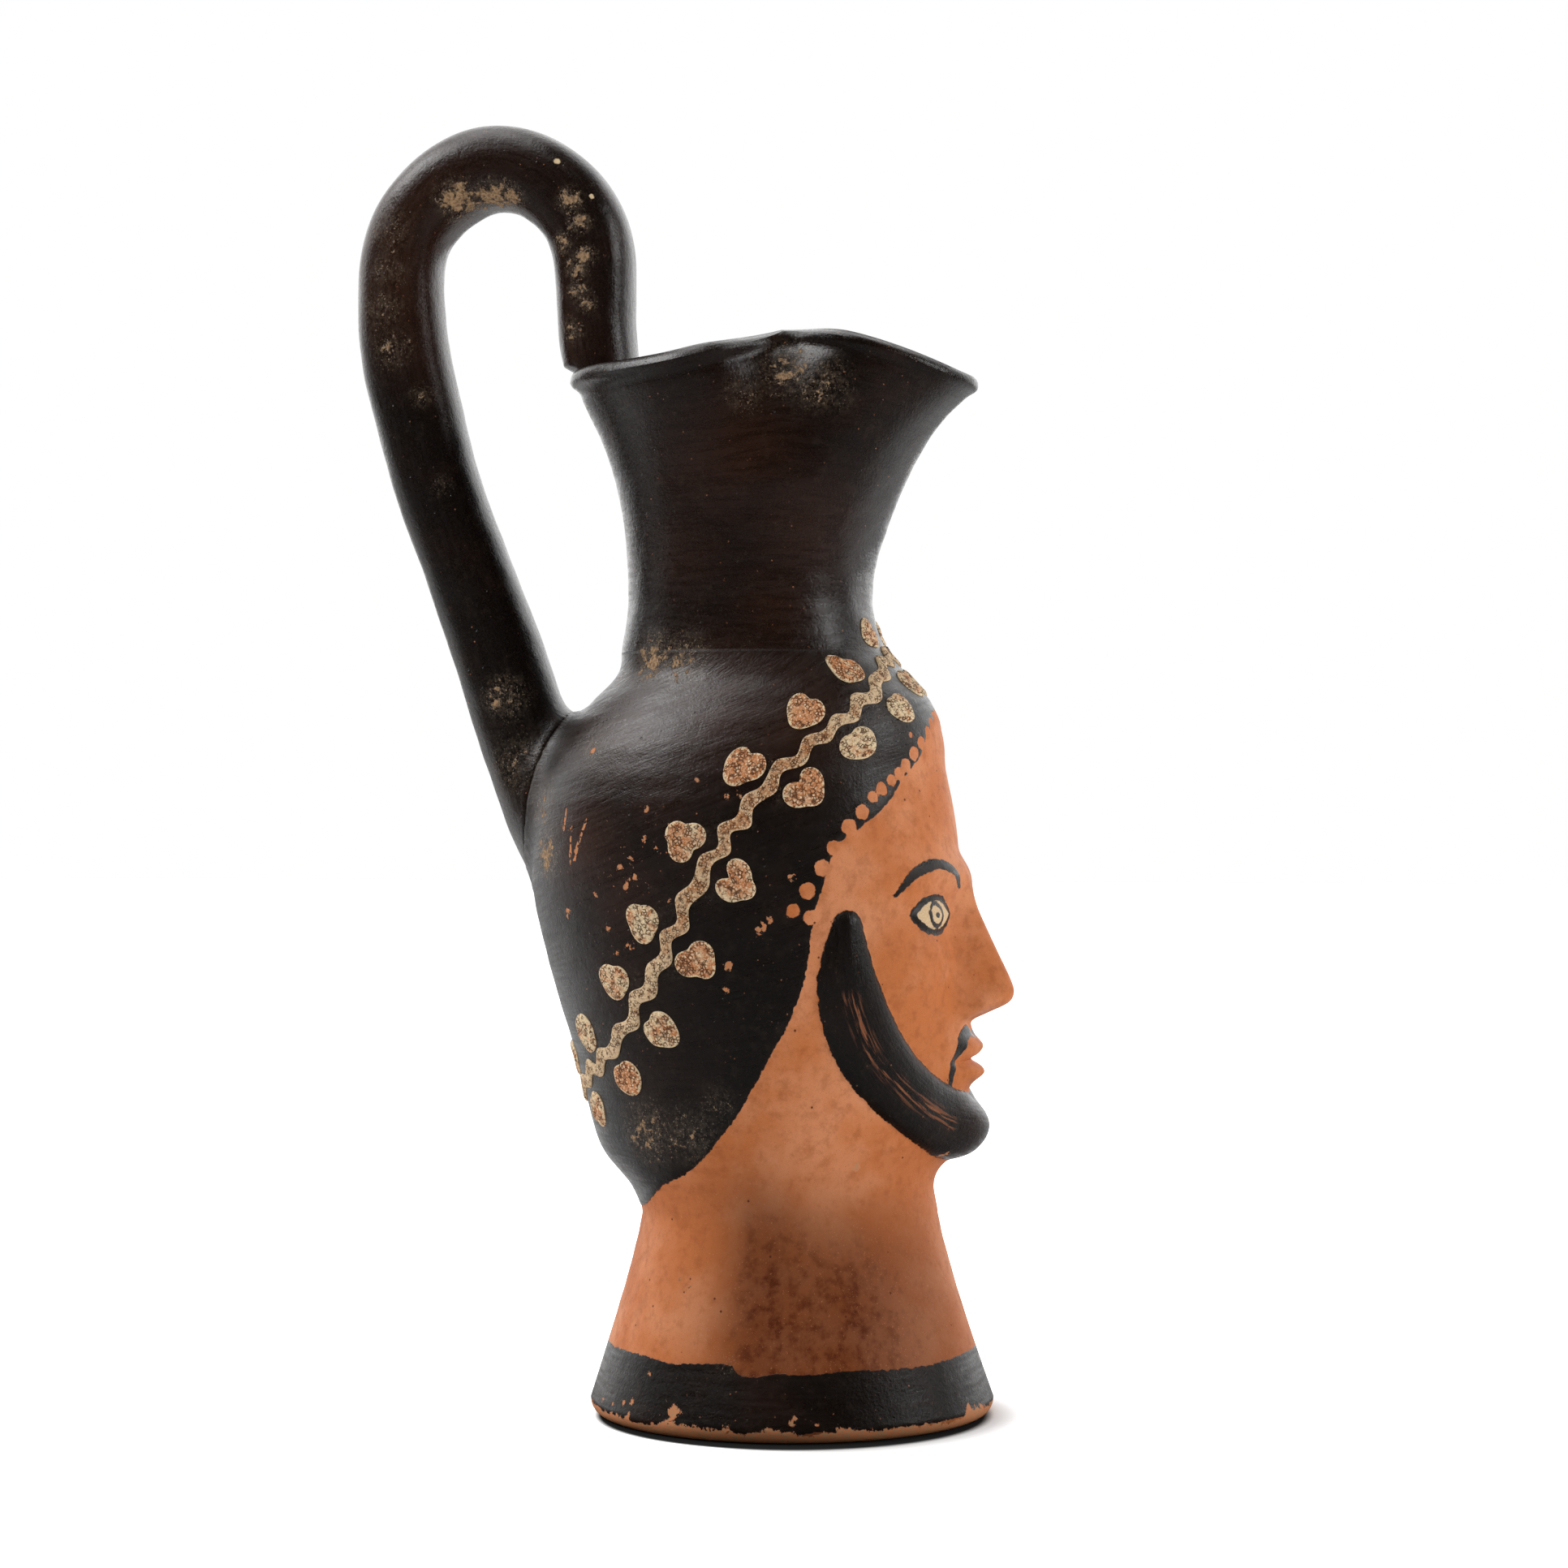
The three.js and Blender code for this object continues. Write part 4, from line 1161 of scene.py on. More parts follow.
@dataclass
class Walls:
    """The pressed walls of the vase: foot, face, hair and thrown neck."""

    skin: Skin
    painting: Painting
    fillet: Callable[[Array, Array], Array]
    pitch: float = 0.42
    face_pitch: float = 0.36
    inner_pitch: float = 1.6
    lip_pitch: float = 0.6
    foot_sides: int = 400
    face_sides: int = 290
    hair_sides: int = 220
    neck_sides: int = 360
    edge_steps: int = 6
    lip_steps: int = 8
    floor_radius: float = 26.8
    floor_height: float = 4.8
    rim_roll: float = 0.34
    rim_ledge: float = 0.6
    thin_rim_share: float = 0.75
    thin_rim_span: tuple[float, float] = (0.2, 0.9)
    soft_edge: float = 0.5
    inner_dust_share: float = 0.6
    hair_fade: tuple[float, float] = (45, 75)
    brush_fall: float = 13
    brush_scales: tuple[float, float] = (4.2, 1.6)
    beard_margin: float = 0.6

    def rule(self, tube: Array) -> tuple[Array, Attributes]:
        """Presses the straight tube into the skin's form and lays the paint on it.

        Args:
            tube: Vertices of the straight tube.

        Returns:
            Their places in millimetres and their attributes.
        """
        skin, paint = self.skin, self.painting
        angle = np.arctan2(tube[:, 0], -tube[:, 1])
        inset = TUBE_RADIUS - np.hypot(tube[:, 0], tube[:, 1])
        height = tube[:, 2]
        bare = skin.bare(angle, height)
        curl = np.clip(ball_depth(bare, paint.curls) / self.soft_edge, 0, 1)
        hair = smooth(paint.hair_depth(angle, height) / self.soft_edge) * (1 - curl)
        drop = skin.sizes.lip_height - height
        roll = sum(share * np.exp(-(((drop - down) / wide) ** 2)) for down, wide, share in RIM_ROLLS)
        roll = self.rim_roll * (1 - self.thin_rim_share * span(np.cos(angle), *self.thin_rim_span)) * roll
        rise = paint.sizes.curl_rise * curl + skin.face.sizes.hair_rise * hair + roll
        rise = (rise + self.fillet(angle, height)) * (inset < 1)
        points = skin.place(angle, height, inset, rise)
        outer = inset < skin.sizes.lip_wall / 2
        return points, {
            "slip": paint.slip(angle, height, inset, bare),
            "cream": np.where(outer, skin.face.eye_white(angle, height), FAR_OUT),
            "streak": np.where(outer, skin.face.beard_streak(angle, height), 0),
            "dust": spot_share(points, paint.dust) * np.where(outer, 1, self.inner_dust_share),
            "wear": np.maximum(spot_share(bare, paint.worn), paint.sizes.least_wear) * outer,
            "scratch": paint.scratch_share(bare) * outer,
            "brush": self.brush(angle, height),
            "chip": np.where(outer, paint.chip_depth(bare), FAR_OUT),
            # darker patches of the bare clay: partly real stains, partly painted shade on the foot
            "stain": paint.stain_share(angle, height),
            "thin": spot_share(bare, paint.thin),
        }

    def brush(self, angle: Array, height: Array) -> Array:
        """Place in the brushed grain: along the beard, level on foot and neck, falling over the hair.

        Args:
            angle: Angles round the axis.
            height: Heights before the lip's lift.

        Returns:
            One vector for each place.
        """
        on_head = span(height, *self.hair_fade) * (height < self.skin.sizes.crown_joint_height)
        fall = self.brush_fall * (1 - np.cos(angle)) * on_head
        across, up = self.brush_scales
        grain = np.stack([across * np.sin(angle), across * np.cos(angle), up * (height + fall)], axis=-1)
        beard = (np.cos(angle) > 0) & (self.skin.face.beard_depth(angle, height) > -self.beard_margin)
        if beard.any():
            grain[beard] = self.skin.face.beard_grain(angle[beard], height[beard])
        return grain

    def foot(self) -> bpy.types.Object:
        """The hollow flared foot with its rebate for the floor disc.

        Returns:
            The foot as one closed piece.
        """
        s = self.skin.sizes
        hole = s.foot_radius - self.floor_radius
        turns = np.linspace(0, math.pi / 2, self.edge_steps + 1)[:-1]
        low, high = s.foot_edge_height, s.foot_joint_height
        section = [
            (hole, 0),
            *((s.foot_edge_round * (1 - math.sin(t)), low * (1 - math.cos(t))) for t in turns),
            *((0, height) for height in spaced(low, high, self.pitch)),
            *((s.wall, height) for height in spaced(high, s.foot_band_height, self.inner_pitch)),
            (hole + s.wall, self.floor_height + self.rim_ledge),
            (hole + s.wall, self.floor_height),
            (hole, self.floor_height),
        ]
        return finished(rolled_wall(section, -180, 180, self.foot_sides), "painted_foot", self.rule)

    def half(self, name: str, start: float, sides: int, pitch: float) -> bpy.types.Object:
        """A half of the head, from the foot's joint to the crown's joint and half round from a start.

        Args:
            name: The piece's name.
            start: First angle in degrees, from the front.
            sides: Steps round it.
            pitch: Height of the steps on the outer face.

        Returns:
            The half as one closed piece.
        """
        s = self.skin.sizes
        outer = spaced(s.foot_joint_height, s.crown_joint_height, pitch)
        inner = spaced(s.crown_joint_height, s.foot_joint_height, self.inner_pitch)
        section = [*((0, height) for height in outer), *((s.wall, height) for height in inner)]
        return finished(rolled_wall(section, start, start + 180, sides), name, self.rule)

    def face(self) -> bpy.types.Object:
        """The front half of the head."""
        return self.half("painted_face", -90, self.face_sides, self.face_pitch)

    def hair(self) -> bpy.types.Object:
        """The rear half of the head."""
        return self.half("painted_hair", 90, self.hair_sides, self.pitch)

    def neck(self) -> bpy.types.Object:
        """The thrown neck with its pinched lip.

        Returns:
            The neck as one closed piece.
        """
        s = self.skin.sizes
        half = s.lip_wall / 2
        bend = s.lip_height - half
        outer = np.array(spaced(s.crown_joint_height, bend, self.pitch)[:-1])
        turn = np.linspace(0, math.pi, self.lip_steps + 1)
        inner = np.array(spaced(bend, s.crown_joint_height, self.lip_pitch)[1:])
        wall = mix(s.lip_wall, s.wall, span(inner, s.lip_height, s.waist_height))
        inset = [*(0 * outer), *(half * (1 - np.cos(turn))), *wall]
        section = list(zip(inset, [*outer, *(bend + half * np.sin(turn)), *inner]))
        return finished(rolled_wall(section, -180, 180, self.neck_sides), "thrown_neck", self.rule)


# ---- handle

# Handle's middle line: back from the axis and height, then the bar's depth and width
HANDLE_SHARES: Table = (
    (0.56, 0.43, 0.7, 0.8), (0.6, 0.465, 1, 1.25), (0.645, 0.51, 1.07, 1.16), (0.703, 0.563, 1.08, 1.04),
    (0.783, 0.64, 1.04, 1), (0.875, 0.715, 1, 1), (0.927, 0.769, 1.01, 1), (0.969, 0.822, 1.05, 1),
    (0.992, 0.861, 1.04, 1), (1, 0.91, 0.98, 1), (0.975, 0.948, 0.98, 1), (0.908, 0.977, 1, 1),
    (0.823, 0.995, 1.01, 1), (0.729, 1, 1.01, 1), (0.629, 0.99, 1, 1), (0.547, 0.966, 0.97, 1),
    (0.505, 0.937, 0.96, 1), (0.494, 0.905, 0.95, 1), (0.494, 0.875, 0.91, 1), (0.494, 0.855, 0.9, 1.02),
    (0.48, 0.835, 0.88, 1.05), (0.454, 0.81, 0.7, 1), (0.421, 0.78, 0.48, 0.85),
    (0.41, 0.755, 0.28, 0.55),
)


@dataclass
class Handle:
    """The rolled handle, luted to the back of the head and inside the lip."""

    skin: Skin
    painting: Painting
    top: float = 200
    back: float = 64.6
    half_depth: float = 6.9
    half_width: float = 7.6
    squareness: float = 2.4
    row_count: int = 400
    sides: int = 96
    fillet_low: float = 3
    fillet_high: float = 6
    low_height: float = 82
    high_height: float = 104
    bedding: float = 2
    smoothing: int = 31
    unevenness: float = 0.08
    least_wear: float = 0.16
    top_wear: float = 0.1
    top_wear_heights: tuple[float, float] = (150, 190)
    fillet_rounds: int = 10
    fillet_step: float = 0.7
    fillet_dip: float = 0.35
    fillet_dip_most: float = 0.6
    fillet_start: float = 70
    bed_rounds: int = 4
    tuck_margin: float = 2
    tuck_fade: float = 1.2
    fine_steps: int = 4000
    block: int = 4096
    line: Array = field(init=False)
    along: Array = field(init=False)
    sizes: Array = field(init=False)
    length: float = field(init=False)

    def __post_init__(self) -> None:
        """Works out the middle line at even steps, with its directions and half sizes."""
        table = np.array([(b * self.back, h * self.top, d, w) for b, h, d, w in HANDLE_SHARES])
        places = travelled(table[:, :2], 0.5)
        curve = Curve(np.column_stack([places, table]), level_ends=False)
        fine = curve(np.linspace(0, places[-1], self.fine_steps))
        way = travelled(fine[:, :2])
        even = np.linspace(0, way[-1], self.row_count)
        rows = np.column_stack([np.interp(even, way, column) for column in fine.T])
        padded = np.pad(rows, ((self.smoothing // 2,) * 2, (0, 0)), "reflect", reflect_type="odd")
        blur = np.hanning(self.smoothing + 2)[1:-1]
        rows = np.column_stack([np.convolve(column, blur / blur.sum(), "valid") for column in padded.T])
        self.line = rows[:, :2]
        self.along = unit(np.gradient(self.line, axis=0))
        self.sizes = rows[:, 2:] * (self.half_depth, self.half_width)
        self.length = way[-1]

    def outside(self, points: Array) -> Array:
        """Distance of points outside the bar, negative inside it.

        Args:
            points: Points in millimetres.

        Returns:
            One distance for each point.
        """
        result = np.empty(len(points))
        for first in range(0, len(points), self.block):
            part = slice(first, first + self.block)
            p = points[part]
            gap = np.hypot(p[:, 1:2] - self.line[:, 0], p[:, 2:3] - self.line[:, 1])
            i = gap.argmin(axis=1)
            away = p[:, 1:] - self.line[i]
            deep = away[:, 0] * self.along[i, 1] - away[:, 1] * self.along[i, 0]
            past = away[:, 0] * self.along[i, 0] + away[:, 1] * self.along[i, 1]
            n = self.squareness
            half = self.sizes[i]
            ratio = (np.abs(deep / half[:, 0]) ** n + np.abs(p[:, 0] / half[:, 1]) ** n) ** (1 / n)
            reach = np.hypot(np.hypot(deep, p[:, 0]), TINY)
            flat = reach * (1 - 1 / np.maximum(ratio, TINY))
            result[part] = np.where(np.abs(past) > 1, np.hypot(np.maximum(flat, 0), past), flat)
        return result

    def fillet_radius(self, height: Array) -> Array:
        """Reach of the fillet between bar and head at a height."""
        return mix(self.fillet_low, self.fillet_high, span(height, self.low_height, self.high_height))

    def filled(self, points: Array, normals: Array, other: Callable[[Array], Array]) -> Array:
        """How far a surface moves out so that it meets another in a fillet.

        Args:
            points: Points of the surface.
            normals: Its ways out.
            other: Gives the distance of points outside the other surface.

        Returns:
            Distances along the normals. Past the middle of the fillet the surface dips under the other.
        """
        moved = np.zeros(len(points))
        for _ in range(self.fillet_rounds):
            here = points + normals * moved[:, None]
            distance = other(here)
            radius = self.fillet_radius(here[:, 2])
            near = np.clip(radius - np.abs(moved - distance), 0, None) / radius
            value = np.minimum(moved, distance) - near**2 * radius / 4
            moved = np.clip(moved - self.fillet_step * value, 0, radius / 4)
        return moved - np.clip(self.fillet_dip * (moved - distance), 0, self.fillet_dip_most)

    def fillet(self, angle: Array, height: Array) -> Array:
        """What the fillet adds to the head's skin.

        Args:
            angle: Angles round the axis.
            height: Heights before the lip's lift.

        Returns:
            Rises in millimetres.
        """
        rise = np.zeros(len(angle))
        behind = np.cos(angle) < -0.5
        near = behind & (height > self.fillet_start) & (height < self.skin.sizes.waist_height)
        if near.any():
            points = self.skin.bare(angle[near], height[near])
            rise[near] = self.filled(points, self.skin.way_out(angle[near], height[near]), self.outside)
        return rise

    def rule(self, bar: Array) -> tuple[Array, Attributes]:
        """Bends the straight bar along the middle line and beds its ends in the wall.

        Args:
            bar: Vertices of the straight bar.

        Returns:
            Their places in millimetres and their attributes.
        """
        s = self.skin.sizes
        i = np.clip(np.round(bar[:, 2]).astype(int), 0, self.row_count - 1)
        turn = np.arctan2(bar[:, 1], bar[:, 0])
        east, north = np.cos(turn), np.sin(turn)
        place = i / self.row_count * self.length
        rough = waves(12, 10, place * 0.35, 3 * east, 3 * north)
        rough = rough + 0.35 * waves(17, 14, place * 1.1, 9 * east, 9 * north)
        size = np.hypot(bar[:, 0], bar[:, 1]) * (1 + self.unevenness / self.half_depth * (rough - 1.4))
        deep, side = (
            self.sizes[i, axis] * np.sign(part) * np.abs(part) ** (2 / self.squareness) * size
            for axis, part in enumerate((east, north))
        )
        zero = np.zeros(len(i))
        out = np.column_stack([zero, self.along[i, 1], -self.along[i, 0]])
        middle = np.column_stack([zero, self.line[i]])
        points = middle + out * deep[:, None] + np.column_stack([side, zero, zero])
        normals = unit(points - middle)
        low = (points[:, 2] < s.waist_height) & (i < self.row_count / 2)
        points[low] += normals[low] * self.filled(points[low], normals[low], self.skin.outside)[:, None]
        self.bed(points, low)
        self.tuck(points, (points[:, 2] < s.lip_height + self.tuck_margin) & (i > self.row_count / 2))
        return points, {
            "slip": zero + self.painting.sizes.far,
            "cream": ball_depth(points, self.painting.drops),
            "streak": zero,
            "dust": spot_share(points, self.painting.dust),
            "wear": self.least_wear + self.top_wear * span(points[:, 2], *self.top_wear_heights),
            "scratch": zero,
            "brush": np.column_stack([place * 0.2, 1.3 * deep, 1.3 * side]),
            "chip": zero + FAR_OUT,
            "stain": zero,
            "thin": np.clip(0.16 + 0.4 * waves(61, 6, place * 0.09, 0.8 * east), 0, 1),
        }

    def level_out(self, points: Array) -> Array:
        """Level ways out of the head at points, no higher than the lip.

        Args:
            points: Points in millimetres.

        Returns:
            Directions with a length of 1.
        """
        front, back, _ = self.skin.reaches(np.minimum(points[:, 2], self.skin.sizes.lip_height))
        middle = np.column_stack([0 * back, (back - front) / 2, points[:, 2]])
        return unit(points - middle)

    def bed(self, points: Array, chosen: Array) -> None:
        """Moves chosen points outwards until none lies too deep in the head's wall.

        Args:
            points: Points in millimetres, moved in place.
            chosen: Which of them may move.
        """
        for _ in range(self.bed_rounds):
            p = points[chosen]
            short = np.clip(-self.bedding - self.skin.outside(p), 0, None)
            points[chosen] = p + self.level_out(p) * short[:, None]

    def tuck(self, points: Array, chosen: Array) -> None:
        """Moves chosen points inwards so that the bar's lower end stays behind the rim's outer face.

        Args:
            points: Points in millimetres, moved in place.
            chosen: Which of them may move.
        """
        s = self.skin.sizes
        for _ in range(self.bed_rounds):
            p = points[chosen]
            level = np.column_stack([p[:, :2], np.minimum(p[:, 2], s.lip_height)])
            past = np.clip(self.skin.outside(level) + s.lip_wall / 2, 0, None)
            share = 1 - span(p[:, 2], s.lip_height - self.tuck_fade, s.lip_height + self.tuck_fade)
            points[chosen] = p - self.level_out(p) * (past * share)[:, None]

    def build(self) -> bpy.types.Object:
        """The bar as one closed piece."""
        return finished(spun_bar(self.row_count, self.sides), "rolled_handle", self.rule)


# ---- wreath

# Middle line of the wreath: angle as a share of a half turn, height between its ends
WREATH_SHARES: Table = (
    (0, 1), (0.222, 0.914), (0.361, 0.785), (0.5, 0.541), (0.611, 0.295), (0.722, 0.138), (0.833, 0.06),
    (1, 0),
)

# Leaves above the stem and below it: place as a share of a half turn, then the reach of the tip, of the
# lobes ahead and behind and of the notch, the lean in degrees, and how orange the leaf has worn
UPPER_LEAVES: Table = (
    (0.055, 0.95, 1.0, 1.0, 0.86, -100, 0.5), (0.216, 0.92, 0.95, 1.05, 0.86, -118, 0.75),
    (0.335, 0.95, 1.02, 1.0, 0.83, -116, 0.8), (0.415, 1.0, 0.98, 1.12, 0.8, -104, 1.0),
    (0.497, 1.22, 0.92, 1.1, 0.86, -112, 0.55), (0.575, 1.05, 0.85, 0.92, 0.91, -118, 0.3),
    (0.652, 1.02, 0.88, 0.96, 0.89, -122, 0.45), (0.775, 0.85, 0.9, 0.95, 0.91, -60, 0.35),
    (0.904, 0.85, 0.95, 0.9, 0.89, -40, 0.5),
)
LOWER_LEAVES: Table = (
    (0.078, 0.9, 0.9, 0.9, 0.89, 0, 0.4), (0.206, 1.05, 0.8, 0.82, 0.88, 14, 0.3),
    (0.304, 0.92, 0.9, 1.0, 0.84, -6, 0.3), (0.39, 0.9, 1.05, 1.22, 0.7, 4, 0.75),
    (0.502, 0.92, 1.22, 1.2, 0.68, 0, 0.6), (0.577, 1.0, 1.02, 1.2, 0.95, 16, 0.65),
    (0.655, 0.9, 0.92, 0.98, 0.85, -4, 0.4), (0.739, 0.85, 0.9, 0.95, 0.91, 5, 0.85),
    (0.854, 0.85, 0.9, 0.85, 0.89, -8, 0.5),
)
LEAVES = {Level.UPPER: UPPER_LEAVES, Level.LOWER: LOWER_LEAVES}


@dataclass
class Wreath:
    """The raised ivy wreath in thick cream slip: two stems and two rows of leaves on each side."""

    skin: Skin
    bottom: float = 50
    top: float = 120.5
    stem_width: float = 2.3
    stem_wave: float = 0.64
    stem_phase: float = 0.6
    stem_pitch: float = 6.2
    stem_steps: int = 300
    stem_across: int = 8
    stem_tint: float = 0.1
    stem_worn_tint: float = 0.5
    stem_worn_from: tuple[float, float] = (0.22, 0.4)
    stem_worn_to: tuple[float, float] = (0.45, 0.7)
    centre_gap: float = 0.3
    thickness: float = 0.55
    bedding: float = 0.25
    leaf_offset: float = 5.2
    tip_reach: float = 3.1
    tip_size: float = 1.75
    lobe_reach: float = 3.3
    lobe_size: float = 2.05
    softness: float = 3.6
    notch_width: float = 0.3
    leaf_segments: int = 40
    leaf_rings: int = 6
    lobe_angle: float = 118
    line_steps: int = 400
    halo_away: float = 4
    halo_radius: float = 5
    halo_strength: float = 0.36
    middle: Curve = field(init=False)
    turns: Array = field(init=False)
    lengths: Array = field(init=False)

    def __post_init__(self) -> None:
        """Prepares the middle line and its length from the forehead."""
        self.middle = Curve(WREATH_SHARES)
        self.turns = np.linspace(0, 1, self.line_steps)
        self.lengths = travelled(self.skin.bare(self.turns * math.pi, self.height(self.turns)))

    def halos(self) -> list[tuple[Array, float, float]]:
        """Deposits round the leaves and beside the stem, each (place, radius, strength).

        Returns:
            One row for each deposit.
        """
        places = []
        for level, leaves in LEAVES.items():
            for row in leaves:
                turn = np.array([row[0]])
                height = self.height(turn) + level.value * self.halo_away
                places += [self.skin.bare(side.value * turn * math.pi, height)[0] for side in Side]
        return [(place, self.halo_radius, self.halo_strength) for place in places]

    def height(self, turn: Array) -> Array:
        """Height of the middle line at a share of a half turn."""
        return mix(self.bottom, self.top, self.middle(turn)[..., 0])

    def local(self, turn: Array, height: Array) -> tuple[Array, Array, Array]:
        """Length of the skin for one radian round it, for one millimetre up it, and the line's slope.

        Args:
            turn: Places on the line as shares of a half turn.
            height: Heights there.

        Returns:
            The two lengths, and the slope as an angle.
        """
        step = self.skin.sizes.solver_step
        angle = turn * math.pi
        here = self.skin.bare(angle, height)
        around = np.linalg.norm(self.skin.bare(angle + step, height) - here, axis=-1) / step
        up = np.linalg.norm(self.skin.bare(angle, height + step) - here, axis=-1) / step
        climb = (self.height(turn + step) - self.height(turn)) / step * up
        return around, up, np.arctan2(climb, math.pi * around)

    def laid(self, side: Side, turn: Array, x: Array, y: Array, out: Array, tilt: float = 0) -> Array:
        """Points beside the middle line of the wreath.

        Args:
            side: The side of the figure.
            turn: Places on the line as shares of a half turn.
            x: Ways along the line.
            y: Ways up from it.
            out: Distances off the skin.
            tilt: What x and y are turned by.

        Returns:
            Points in millimetres.
        """
        height = self.height(turn)
        around, up, slope = self.local(turn, height)
        sine, cosine = np.sin(slope + tilt), np.cos(slope + tilt)
        angle = turn * math.pi + (x * cosine - y * sine) / around
        return self.skin.place(side.value * angle, height + (x * sine + y * cosine) / up, -out)

    def stem(self, side: Side) -> bpy.types.Object:
        """One stem from the middle of the forehead to the nape.

        Args:
            side: The side of the figure.

        Returns:
            The stem as one closed piece.
        """

        def rule(flat: Array) -> tuple[Array, Attributes]:
            """Lays the ribbon along the middle line.

            Args:
                flat: Vertices of the flat ribbon.

            Returns:
                Their places in millimetres and their attributes.
            """
            edge = self.centre_gap / (self.skin.sizes.waist_front * math.pi)
            length = mix(self.centre_gap, self.lengths[-1] - self.centre_gap, flat[:, 0])
            turn = np.clip(np.interp(length, self.lengths, self.turns), edge, 1 - edge)
            drift = 0.5 * np.sin(length * 0.27 + side.value)
            wave = np.sin(2 * math.pi * length / self.stem_pitch + drift + self.stem_phase)
            swing = self.stem_wave * (1 + 0.3 * np.sin(length * 0.4)) * wave
            half = self.stem_width / 2 * (1 + 0.1 * waves(31 + side.value, 8, length * 2.2))
            offset = flat[:, 1] * half + swing
            dome = self.thickness * (0.45 + 0.55 * np.sqrt(np.clip(1 - flat[:, 1] ** 4, 0, 1)))
            rough = 0.05 * waves(40, 20, length * 7.7, flat[:, 1] * 3)
            worn = span(turn, *self.stem_worn_from) * (1 - span(turn, *self.stem_worn_to))
            out = np.where(flat[:, 2] > 0.5, dome + rough, -self.bedding)
            return self.laid(side, turn, 0 * offset, offset, out), {
                "rim": (1 - np.abs(flat[:, 1])) * half,
                "tint": self.stem_tint + self.stem_worn_tint * worn,
                "pattern": np.column_stack([length, offset, np.full(len(turn), float(side.value))]),
            }

        return finished(ribbon(self.stem_steps, self.stem_across), f"slip_stem_{side.name.lower()}", rule)

    def outline(self, turn: Array, row: Row) -> Array:
        """Reach of a leaf's outline at angles from its tip: three soft rounds run together.

        Args:
            turn: Angles from the tip.
            row: The leaf's row of the table.

        Returns:
            Reaches in millimetres.
        """
        _, tip, ahead, behind, notch, _, _ = row
        body = 0
        for centre, reach, size in (
            (0, self.tip_reach * tip, self.tip_size),
            (-self.lobe_angle, self.lobe_reach * ahead, self.lobe_size),
            (self.lobe_angle, self.lobe_reach * behind, self.lobe_size),
        ):
            gap = turn - math.radians(centre)
            out = reach - size
            lobe = out * np.cos(gap) + np.sqrt(np.maximum(size**2 - (out * np.sin(gap)) ** 2, TINY))
            body = body + np.maximum(lobe, TINY) ** self.softness
        notched = (1 - notch) * np.exp(-(((np.abs(turn) - math.pi) / self.notch_width) ** 2))
        return body ** (1 / self.softness) * (1 - notched)

    def leaf(self, side: Side, level: Level, number: int, row: Row) -> bpy.types.Object:
        """One leaf, bedded on the skin above or below the stem.

        Args:
            side: The side of the figure.
            level: Above or below the stem.
            number: The leaf's number from the forehead.
            row: The leaf's row of the table.

        Returns:
            The leaf as one closed piece.
        """
        turn, lean, tint = row[0], math.radians(row[5]), row[6]
        seed = number + 20 * (level is Level.UPPER) + 50 * (side is Side.LEFT)
        tilt = 0 if level is Level.UPPER else math.pi

        def rule(flat: Array) -> tuple[Array, Attributes]:
            """Gives the pat its outline and lays it on the skin.

            Args:
                flat: Vertices of the round pat.

            Returns:
                Their places in millimetres and their attributes.
            """
            spread = np.hypot(flat[:, 0], flat[:, 1])
            bend = np.arctan2(flat[:, 0], flat[:, 1])
            rough = 1 + 0.06 * waves(seed, 9, 3 * np.cos(bend), 3 * np.sin(bend))
            reach = self.outline(bend * level.value, row) * rough
            x, y = reach * spread * np.sin(bend), reach * spread * np.cos(bend)
            x, y = x * math.cos(lean) - y * math.sin(lean), x * math.sin(lean) + y * math.cos(lean)
            y = y + self.leaf_offset
            dome = self.thickness * (0.4 + 0.6 * np.sqrt(np.clip(1 - spread**5, 0, 1)))
            dome = dome + 0.05 * waves(seed + 7, 16, x * 2.2, y * 2.2)
            out = np.where(flat[:, 2] > 0.5, dome, -self.bedding)
            return self.laid(side, np.array([turn]), x, y, out, tilt), {
                "rim": (1 - spread) * reach,
                "tint": np.full(len(x), tint),
                "pattern": np.column_stack([x, y, np.full(len(x), 3.7 * seed)]),
            }

        name = f"slip_leaf_{side.name.lower()}_{level.name.lower()}_{number}"
        return finished(pat(self.leaf_segments, self.leaf_rings), name, rule)


# ---- finishes


class Mark:
    """One result in a node tree. Plain arithmetic on it adds the nodes that work it out."""

    def __init__(self, tree: "Tree", socket: bpy.types.NodeSocket) -> None:
        """Keeps the result's socket and the tree that it is in."""
        self.tree = tree
        self.socket = socket

    def __add__(self, other: Value) -> "Mark":
        """This and another."""
        return self.tree.sum("ADD", self, other)

    def __sub__(self, other: Value) -> "Mark":
        """This less another."""
        return self.tree.sum("SUBTRACT", self, other)

    def __rsub__(self, other: Value) -> "Mark":
        """A plain number less this."""
        return self.tree.sum("SUBTRACT", other, self)

    def __mul__(self, other: Value) -> "Mark":
        """This times another."""
        return self.tree.sum("MULTIPLY", self, other)

    def most(self, other: Value) -> "Mark":
        """The greater of this and another."""
        return self.tree.sum("MAXIMUM", self, other)

    def span(self, low: Value, high: Value, start: float = 0, end: float = 1) -> "Mark":
        """Eases from start to end while this goes from low to high."""
        inputs = {"Value": self, "From Min": low, "From Max": high, "To Min": start, "To Max": end}
        return self.tree.node("MapRange", inputs, "Result", interpolation_type="SMOOTHSTEP")


